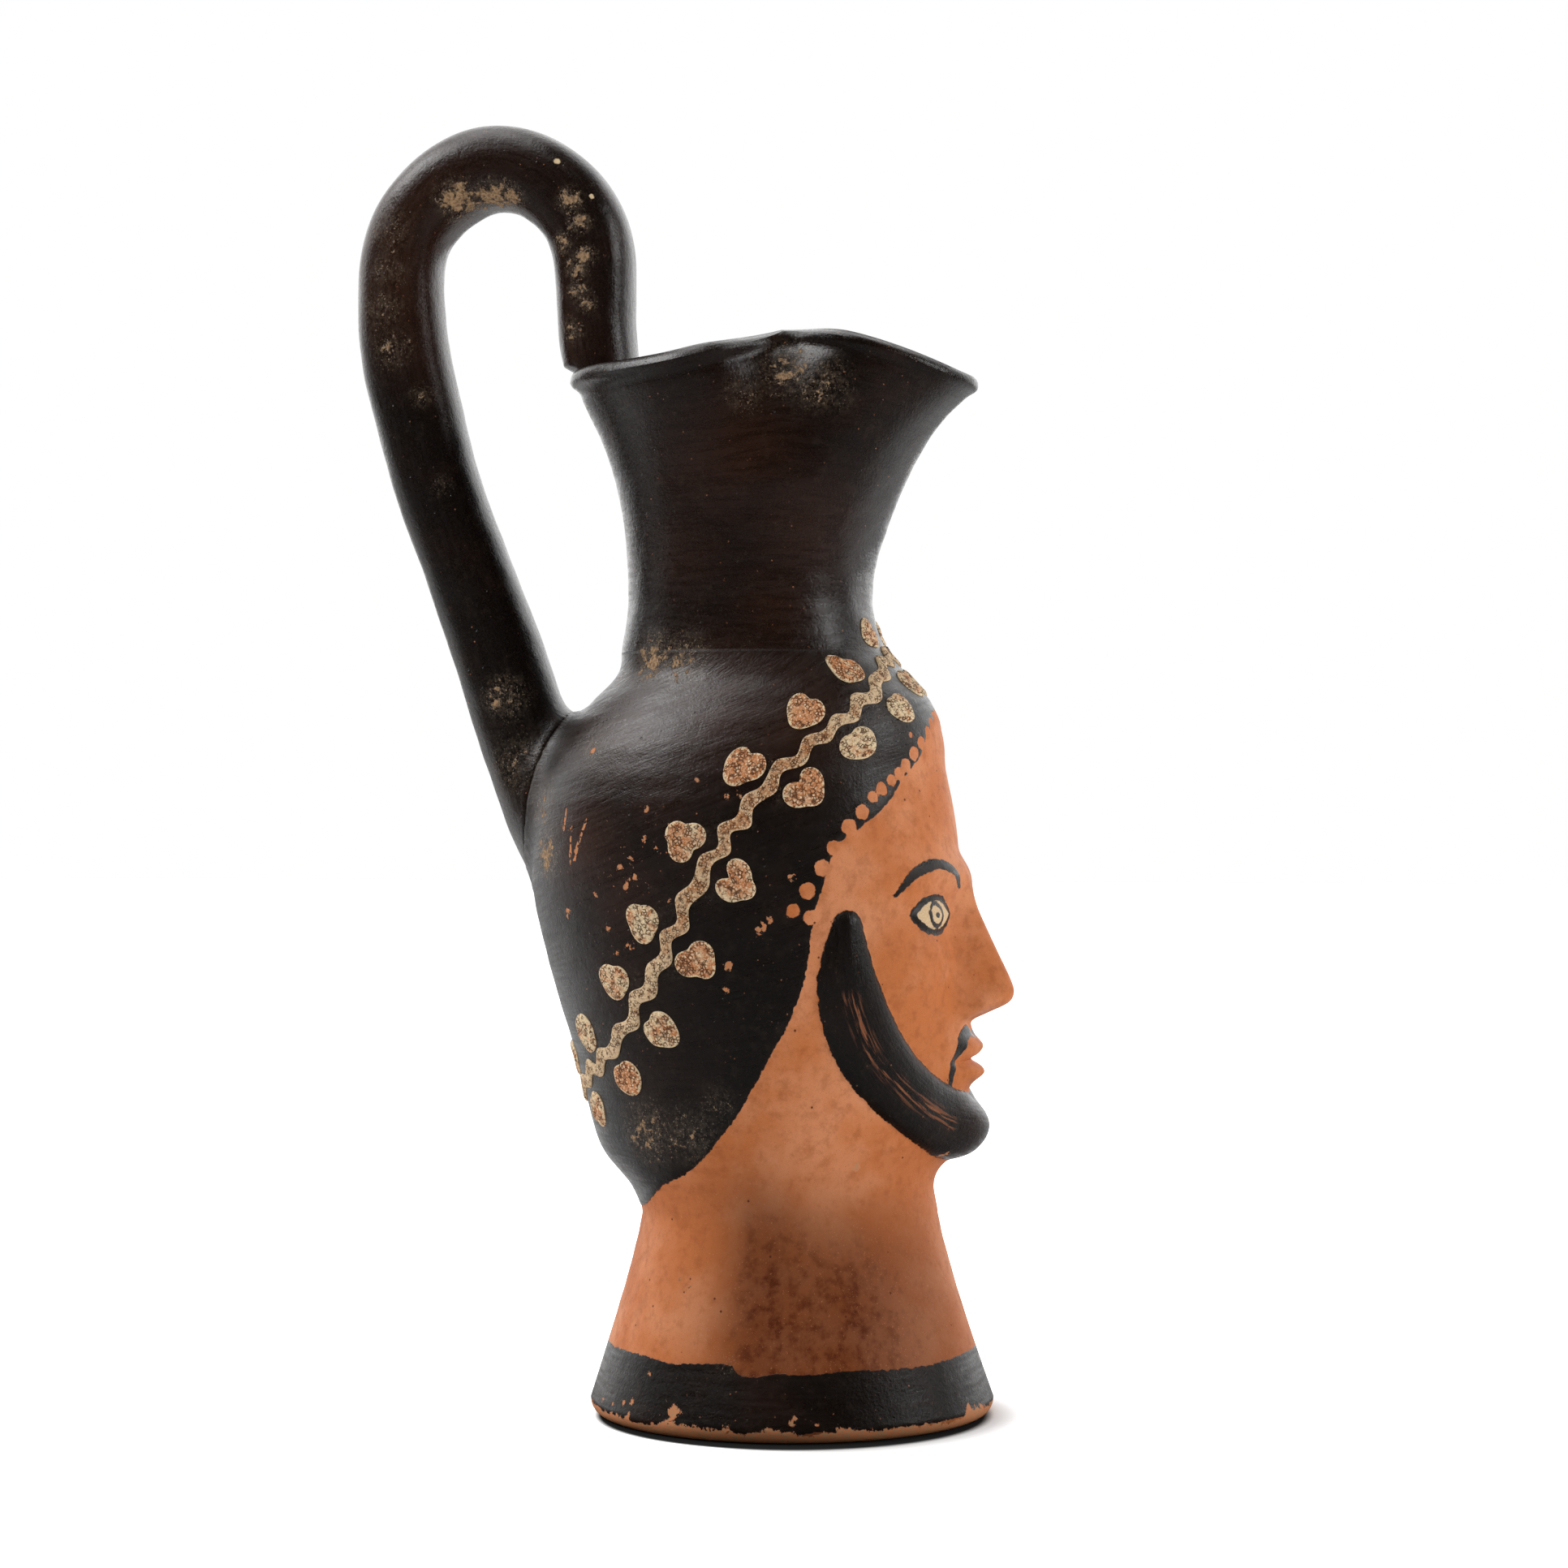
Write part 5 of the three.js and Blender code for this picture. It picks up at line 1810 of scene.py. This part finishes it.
class Tree:
    """The node tree of a material or world, grown in short steps. Marks and plain values mix freely."""

    def __init__(self, owner: bpy.types.Material | bpy.types.World) -> None:
        """Starts with no nodes.

        Args:
            owner: The material or world.
        """
        owner.use_nodes = True
        self.owner = owner
        self.tree = owner.node_tree
        self.tree.nodes.clear()

    def add(self, kind: str, inputs: Inputs, **settings: object) -> bpy.types.Node:
        """Adds a node and fills or links its inputs.

        Args:
            kind: The node's type without its prefix.
            inputs: Marks or plain values for its inputs.
            settings: The node's own options.

        Returns:
            The node.
        """
        node = self.tree.nodes.new(f"ShaderNode{kind}")
        for key, value in settings.items():
            setattr(node, key, value)
        for key, value in inputs.items():
            if isinstance(value, Mark):
                self.tree.links.new(value.socket, node.inputs[key])
            else:
                node.inputs[key].default_value = value
        return node

    def node(self, kind: str, inputs: Inputs, output: str | int = 0, **settings: object) -> Mark:
        """Adds a node and gives one of its results."""
        return Mark(self, self.add(kind, inputs, **settings).outputs[output])

    def amount(self, name: str) -> Mark:
        """The piece's own number of that name."""
        return self.node("Attribute", {}, "Fac", attribute_name=name)

    def vector(self, name: str) -> Mark:
        """The piece's own vector of that name."""
        return self.node("Attribute", {}, "Vector", attribute_name=name)

    def scaled(self, vector: Value, scale: Value) -> Mark:
        """A vector times a number."""
        return self.node("VectorMath", {0: vector, "Scale": scale}, operation="SCALE")

    def measure(self, kind: str, *vectors: Value) -> Mark:
        """A number from one or two vectors."""
        return self.node("VectorMath", dict(enumerate(vectors)), "Value", operation=kind)

    def noise(self, vector: Value, scale: float, detail: float = 3, roughness: float = 0.5) -> Mark:
        """Soft noise between 0 and 1."""
        inputs = {"Vector": vector, "Scale": scale, "Detail": detail, "Roughness": roughness}
        return self.node("TexNoise", inputs, "Fac")

    def cells(self, vector: Value, scale: float, feature: str = "F1") -> Mark:
        """Distance in a field of cells."""
        inputs = {"Vector": vector, "Scale": scale, "Randomness": 1}
        return self.node("TexVoronoi", inputs, "Distance", feature=feature)

    def sum(self, kind: str, first: Value, second: Value) -> Mark:
        """One step of arithmetic."""
        return self.node("Math", {0: first, 1: second}, operation=kind)

    def between(self, share: Value, first: Value, second: Value) -> Mark:
        """A number between two."""
        return self.node("Mix", {0: share, 2: first, 3: second}, data_type="FLOAT")

    def layered(self, colour: Value, *coats: tuple[Value, Value]) -> Mark:
        """A colour with coats laid over it one after the other, each (share, colour).

        Args:
            colour: The lowest colour.
            coats: The coats.

        Returns:
            The colour on top.
        """
        for share, coat in coats:
            colour = self.node("Mix", {0: share, 6: colour, 7: coat}, 2, data_type="RGBA")
        return colour

    def millimetres(self) -> Mark:
        """The object's own coordinates, in millimetres."""
        return self.scaled(self.node("TexCoord", {}, "Object"), 1 / MM)

    def finish(self, colour: Value, roughness: Value, height: Value, specular: Value) -> bpy.types.Material:
        """Closes the tree with a shader.

        Args:
            colour: Base colour.
            roughness: Roughness.
            height: Relief in millimetres.
            specular: Level of the plain reflection.

        Returns:
            The material.
        """
        bump = self.node("Bump", {"Height": height, "Strength": 1.0, "Distance": MM})
        look = {"Base Color": colour, "Roughness": roughness, "Specular IOR Level": specular}
        self.add("OutputMaterial", {0: self.node("BsdfPrincipled", {**look, "Normal": bump})})
        return self.owner


@dataclass(frozen=True)
class FiredClay:
    """Burnished clay with black slip, cream, chips, deposits, and stains with painted shade, laid out by the
    piece's attributes.
    """

    name: str
    clay: Colour = (0.53, 0.162, 0.048, 1)
    pale_clay: Colour = (0.64, 0.25, 0.112, 1)
    dark_clay: Colour = (0.25, 0.062, 0.015, 1)
    # dark colour of the stains and the painted shade on the bare clay, also used for the pits
    stain: Colour = (0.085, 0.016, 0.0015, 1)
    black: Colour = (0.0052, 0.0028, 0.0018, 1)
    thin_black: Colour = (0.036, 0.0115, 0.005, 1)
    streak: Colour = (0.24, 0.075, 0.024, 1)
    chip: Colour = (0.58, 0.21, 0.09, 1)
    dust: Colour = (0.4, 0.245, 0.125, 1)
    haze: Colour = (0.075, 0.052, 0.034, 1)
    speck: Colour = (0.46, 0.36, 0.25, 1)
    film: Colour = (0.055, 0.034, 0.022, 1)
    cream: Colour = (0.66, 0.5, 0.3, 1)
    brushed: float = 1.0
    sheen: tuple[float, float] = (0.25, 0.38)
    shine: float = 0.5

    def material(self) -> bpy.types.Material:
        """Grows the clay, the slip over it and the wear in one node tree.

        Returns:
            The finish as a material.
        """
        t = Tree(bpy.data.materials.new(self.name))
        place = t.millimetres()
        brush = t.vector("brush")
        grain = t.noise(place, 2.4, 4, 0.6)
        speckle = t.noise(place, 7.0, 2, 0.6)
        mottle = t.noise(place, 0.5, 5, 0.65)
        cloud = t.noise(place, 0.07, 5, 0.55)
        strokes = t.noise(brush, 0.9, 4, 0.6)
        fine_strokes = t.noise(brush, 3.2, 2, 0.55)

        pit = t.cells(place, 0.3).span(0.04, 0.07, 1, 0)
        clay = t.layered(
            self.clay,
            (cloud.span(0.4, 0.66), self.pale_clay),
            (mottle.span(0.42, 0.72, 0, 0.4), self.dark_clay),
            (fine_strokes.span(0.5, 0.72, 0, 0.1), self.pale_clay),
            # stains, partly painted shade that darkens the flared foot
            (t.amount("stain") * mottle.span(0.3, 0.65, 1.15, 0.85), self.stain),
            (speckle.span(0.56, 0.72, 0, 0.4), self.dark_clay),
            (t.noise(place, 3.6, 3, 0.6).span(0.62, 0.74, 0, 0.5), self.pale_clay),
            (pit * 0.85, self.stain),
        )

        patches = t.noise(place, 0.085, 5, 0.62).span(0.42, 0.75)
        thin = t.amount("thin").most(patches * 0.34) * strokes.span(0.25, 0.7, 0.45, 1)
        dots = t.cells(place, 0.55).span(0.03, 0.1, 0.8, 0) * grain.span(0.4, 0.6)
        black = t.layered(
            self.black,
            (thin, self.thin_black),
            (mottle.span(0.52, 0.75, 0, 0.22), self.film),
            (speckle.span(0.6, 0.7, 0, 0.5), self.film),
            (t.amount("streak") * strokes.span(0.5, 0.6), self.streak),
            (dots * cloud.span(0.4, 0.6, 0.25, 1), self.chip),
        )

        chipped = t.amount("chip")
        broken = (t.noise(place, 1.1, 5, 0.68) - 0.5) * 3.2
        edge = 0.735 - t.amount("wear") * 0.13
        crumbs = t.noise(place, 2.0, 5, 0.64).span(edge, edge + 0.015)
        lines = t.amount("scratch") * t.noise(place, 1.6, 2).span(0.42, 0.5)
        chips = (chipped + broken).span(0.0, 0.08) * chipped.span(-0.9, -0.5)
        chips = chips.most(crumbs).most(lines.span(0.55, 0.75))

        wander = (t.noise(place, 0.9, 4, 0.6) - 0.5) * 0.9
        painted, creamy, dust = t.amount("slip"), t.amount("cream"), t.amount("dust")
        slip = (painted + wander).span(-0.07, 0.07) * (1 - chips)
        flake = t.layered(self.chip, (grain.span(0.42, 0.62), self.dust))
        spotted = t.layered(self.cream, (speckle.span(0.5, 0.68, 0, 0.6), self.clay))
        dusty = dust.span(0.2, 0.7)
        bar = 0.79 - dust * 0.38
        crust = t.noise(place, 0.75, 8, 0.68).span(bar, bar + 0.06)
        colour = t.layered(
            clay,
            (chips * 0.75, flake),
            ((creamy + wander * 0.4).span(-0.05, 0.08), spotted),
            (slip, black),
            (creamy.span(0.0, 0.2) * painted.span(5, 5.5), self.cream),
            (dusty * t.noise(place, 1.3, 6, 0.7).span(0.44, 0.62, 0, 0.75) * slip, self.haze),
            (dusty * t.noise(place, 3.4, 4, 0.7).span(0.6, 0.66) * 0.8, self.speck),
            (crust, t.layered(self.dust, (grain.span(0.36, 0.66, 0, 0.75), self.film))),
        )

        sheen = t.between(strokes.span(0.3, 0.7), *self.sheen) + grain.span(0.4, 0.7, 0, 0.08)
        roughness = t.between(slip, grain.span(0.3, 0.7, 0.5, 0.66), sheen)
        height = (
            slip * 0.03
            + strokes * (slip * (0.06 * self.brushed))
            + fine_strokes * t.between(slip, 0.006, 0.03 * self.brushed)
            + grain * t.between(slip, 0.035, 0.055)
            + mottle * t.between(slip, 0.05, 0.12)
            + crust * 0.06
            - pit * 0.08
        )
        return t.finish(colour, t.between(crust, roughness, 0.85), height, t.between(slip, 0.16, self.shine))


@dataclass(frozen=True)
class CreamSlip:
    """Thick cream slip, smooth at its rim and crackled into orange grains inside."""

    name: str
    grains_per_mm: float
    cream: Colour = (0.7, 0.52, 0.3, 1)
    pale: Colour = (0.84, 0.69, 0.48, 1)
    orange: Colour = (0.52, 0.155, 0.035, 1)
    crack: Colour = (0.07, 0.022, 0.007, 1)

    def material(self) -> bpy.types.Material:
        """Grows the cream, its worn grains and its cracks.

        Returns:
            The finish as a material.
        """
        t = Tree(bpy.data.materials.new(self.name))
        pattern = t.vector("pattern")
        cloud = t.noise(pattern, 0.5, 4, 0.6)
        fleck = t.noise(pattern, 4.5, 3, 0.6)
        ragged = t.noise(pattern, 1.8, 3, 0.6).span(0.35, 0.65, -0.3, 0.3)
        inner = (t.amount("rim") + ragged).span(0.05, 0.3)
        worn = (cloud + t.amount("tint") * 0.42).span(0.56, 0.8) * inner
        grains = t.cells(pattern, self.grains_per_mm).span(0.2, 0.45, 1, 0)
        showing = grains * t.noise(pattern, 1.4, 3).span(0.42, 0.6, 0.0, 0.85)
        crackle = t.cells(pattern, self.grains_per_mm, "DISTANCE_TO_EDGE").span(0.03, 0.2, 1, 0)
        groove = crackle * t.between(inner, 0.1, 1.0) * t.noise(pattern, 1.1, 3).span(0.4, 0.56)
        colour = t.layered(
            self.cream,
            (fleck.span(0.42, 0.66), self.pale),
            (worn * fleck.span(0.4, 0.66, 0.95, 0.5), self.orange),
            (showing * worn, self.pale),
            (groove * 0.9, self.crack),
            (t.noise(pattern, 8.0, 2).span(0.6, 0.7, 0, 0.65), self.crack),
        )
        return t.finish(colour, fleck.span(0.3, 0.7, 0.7, 0.9), groove * -0.14 + fleck * 0.09, 0.3)


@dataclass(frozen=True)
class PlainClay:
    """Unpainted clay of the pieces inside and under the vase."""

    name: str
    clay: Colour = (0.50, 0.19, 0.085, 1)
    dark: Colour = (0.25, 0.085, 0.035, 1)

    def material(self) -> bpy.types.Material:
        """Grows the mottled clay.

        Returns:
            The finish as a material.
        """
        t = Tree(bpy.data.materials.new(self.name))
        place = t.millimetres()
        grain = t.noise(place, 3.0, 4, 0.6)
        colour = t.layered(
            self.clay,
            (t.noise(place, 0.1, 5, 0.6).span(0.4, 0.7), self.dark),
            (grain.span(0.55, 0.75, 0, 0.6), self.dark),
        )
        return t.finish(colour, grain.span(0.3, 0.7, 0.7, 0.9), grain * 0.08, 0.3)


# ---- studio


@dataclass(frozen=True)
class Lamp:
    """One soft box: degrees round from the camera to the right and degrees up, its size and brightness."""

    name: str
    around: float
    up: float
    width: float
    tall: float
    bright: float
    mirrored: bool = True


@dataclass
class Studio:
    """The pale table, the light and the camera."""

    azimuth: float = 279
    distance: float = 0.565
    height: float = 0.1
    shift_right: float = -0.0013
    sensor: float = 36
    lens: float = 80.96
    nearest: float = 0.01
    target_height: float = 0.1
    reach: float = 0.8
    floor_half: float = 3
    surround: float = 1.8
    paper: float = 0.8
    # Painted shadow on the table: the ring's shift toward the camera, its radius in front and behind, its
    # softness, edge and darkness
    shade_forward: float = 0.0047
    shade_radius: float = 0.0303
    shade_radius_rear: float = 0.0325
    shade_softness: tuple[float, float] = (0.0016, 0.0115)
    shade_edge: float = 0.002
    shade_dark: float = 0.02
    front_fade: tuple[float, float] = (-0.03, -0.014)
    side_fade: tuple[float, float] = (-0.014, 0.014)
    mirrored_near: Row = (0.031, 0.08, 0.1, 1)
    mirrored_deep: Row = (-0.12, 0.05, 0.8, 0.15)
    surround_fades: tuple[float, float] = (-0.75, -0.1)
    surround_dark: float = 0.02
    lamps: tuple[Lamp, ...] = (
        Lamp("key_box", -82, 47, 0.6, 0.3, 7.0),
        Lamp("high_left_box", -100, 76, 0.5, 0.4, 3.0),
        Lamp("low_left_box", -106, 24, 0.22, 0.34, 2.0),
        Lamp("top_box", -20, 68, 0.4, 0.3, 0.8),
        Lamp("right_box", 77, 24, 0.11, 0.4, 9.0),
        Lamp("right_fill", 68, 16, 0.5, 0.4, 4.0, False),
        Lamp("front_fill", 8, 8, 0.6, 0.5, 0.4, False),
        Lamp("left_fill", -66, 4, 0.5, 0.4, 1.0, False),
    )

    toward: Vector = field(init=False)
    right: Vector = field(init=False)

    def __post_init__(self) -> None:
        """Works out the picture's own directions on the table."""
        a = math.radians(self.azimuth)
        self.toward = Vector((math.sin(a), -math.cos(a), 0))
        self.right = Vector((math.cos(a), math.sin(a), 0))

    def camera(self) -> None:
        """The camera at the photograph's angle, level and without depth of field."""
        data = bpy.data.cameras.new("camera")
        data.sensor_width = self.sensor
        data.lens = self.lens
        data.clip_start = self.nearest
        camera = placed("camera", data)
        shift = self.right * self.shift_right + Vector((0, 0, self.height))
        camera.location = self.toward * self.distance + shift
        camera.rotation_euler = (math.pi / 2, 0, math.atan2(self.toward.x, -self.toward.y))
        bpy.context.scene.camera = camera

    def light(self) -> None:
        """Soft boxes round the vase, aimed at its middle."""
        aim = Vector((0, 0, self.target_height))
        for lamp in self.lamps:
            data = bpy.data.lights.new(lamp.name, "AREA")
            data.shape = "RECTANGLE"
            data.size, data.size_y = lamp.width, lamp.tall
            data.energy = lamp.bright * math.pi * lamp.width * lamp.tall
            lit = placed(lamp.name, data)
            around, up = math.radians(lamp.around), math.radians(lamp.up)
            level = self.right * math.sin(around) + self.toward * math.cos(around)
            lit.location = aim + (level * math.cos(up) + Vector((0, 0, math.sin(up)))) * self.reach
            lit.rotation_euler = (aim - lit.location).to_track_quat("-Z", "Y").to_euler()
            lit.visible_glossy = lamp.mirrored

    def world(self) -> None:
        """A white surround behind the vase that darkens to the camera's side, and plain white to the eye."""
        world = bpy.data.worlds.new("surround")
        bpy.context.scene.world = world
        t = Tree(world)
        facing = t.measure("DOT_PRODUCT", t.node("TexCoord", {}, "Generated"), self.toward)
        level = facing.span(*self.surround_fades, self.surround, self.surround_dark)
        seen = t.between(t.node("LightPath", {}, "Is Camera Ray"), level, 1.0)
        shine = t.node("Background", {"Color": (1, 1, 1, 1), "Strength": seen})
        t.add("OutputWorld", {0: shine})

    def floor(self) -> None:
        """A plain white table. Near the foot it carries a painted shadow for the eye: a dark contact ring in
        its colour, and a glow that fades in past the ring, set toward the camera and softer on the right,
        over the paper's own lit shading.
        """
        bm = bmesh.new()
        bmesh.ops.create_grid(bm, x_segments=2, y_segments=2, size=self.floor_half)
        mesh = bpy.data.meshes.new("table")
        bm.to_mesh(mesh)
        bm.free()
        t = Tree(bpy.data.materials.new("table_white"))
        place = t.node("TexCoord", {}, "Object")
        front, beside = (t.measure("DOT_PRODUCT", place, way) for way in (self.toward, self.right))
        ahead = front.span(*self.front_fade)
        centre = t.scaled(self.toward * self.shade_forward, ahead)
        shade = t.measure("DISTANCE", place, centre)
        softness = beside.span(*self.side_fade, *self.shade_softness)
        softness = t.between(ahead, self.shade_softness[1], softness)
        start = t.between(ahead, self.shade_radius_rear, self.shade_radius)
        # painted contact shadow: inside the ring the paper's colour drops to near black
        seen = shade.span(start, start + self.shade_edge, self.shade_dark, self.paper)
        mirrored = t.measure("LENGTH", place).span(*self.mirrored_near) * front.span(*self.mirrored_deep)
        level = t.between(t.node("LightPath", {}, "Is Glossy Ray"), seen, mirrored)
        white = t.node("CombineColor", {0: level, 1: level, 2: level})
        paper = t.node("BsdfDiffuse", {"Color": white})
        eye = t.node("LightPath", {}, "Is Camera Ray")
        # the glow fades in past the ring, which paints the soft shadow's shape
        glow = t.node("Emission", {"Strength": eye * shade.span(start, softness + start)})
        t.add("OutputMaterial", {0: t.node("AddShader", {0: paper, 1: glow})})
        mesh.materials.append(t.owner)
        placed("table", mesh)

    def build(self) -> None:
        """Sets the whole studio up."""
        self.camera()
        self.light()
        self.world()
        self.floor()
        bpy.context.scene.view_settings.view_transform = "Standard"


# ---- the vase


def dress_kept(finish: bpy.types.Material, *names: str) -> None:
    """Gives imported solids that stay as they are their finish.

    Args:
        finish: Their material.
        names: Names of the solids.
    """
    for name in names:
        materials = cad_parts[name].data.materials
        materials.clear()
        materials.append(finish)
        log.info("%s: kept", name)


def main() -> None:
    """Builds the vase and its studio."""
    skin = Skin(SkinSizes(), Face(FaceSizes()))
    painting = Painting(skin, PaintSizes())
    handle = Handle(skin, painting)
    walls = Walls(skin, painting, handle.fillet)
    wreath = Wreath(skin)
    painting.dust += wreath.halos()
    gloss = FiredClay("black_gloss_slip", brushed=0.6, sheen=(0.19, 0.3)).material()
    painted = FiredClay("painted_burnished_clay").material()
    banded = FiredClay("banded_burnished_clay", brushed=0.2, sheen=(0.26, 0.42), shine=0.3).material()
    plain = PlainClay("plain_clay").material()
    settle(walls.foot(), banded, Slot.CLAY, "foot_pedestal")
    settle(walls.face(), painted, Slot.PAINTED, "face_mould")
    settle(walls.hair(), painted, Slot.GLOSS, "back_mould")
    settle(walls.neck(), gloss, Slot.GLOSS, "spout_neck")
    settle(handle.build(), gloss, Slot.GLOSS, "handle")
    stem_colours = (0.64, 0.45, 0.265, 1), (0.74, 0.56, 0.36, 1), (0.4, 0.15, 0.045, 1)
    stem_slip = CreamSlip("stem_cream_slip", 2.4, *stem_colours).material()
    leaf_slip = CreamSlip("leaf_cream_slip", 1.9).material()
    for side in Side:
        word = side.name.lower()
        settle(wreath.stem(side), stem_slip, Slot.CREAM, f"ivy_stem_{word}")
        for level, leaves in LEAVES.items():
            for number, row in enumerate(leaves, start=1):
                leaf = wreath.leaf(side, level, number, row)
                settle(leaf, leaf_slip, Slot.CREAM, f"ivy_leaf_{word}_{level.name.lower()}_{number}")
    dress_kept(plain, "floor_disc", "foot_coil", "neck_coil", "seam_coil_right", "seam_coil_left")
    Studio().build()


if __name__ == "__main__":
    main()
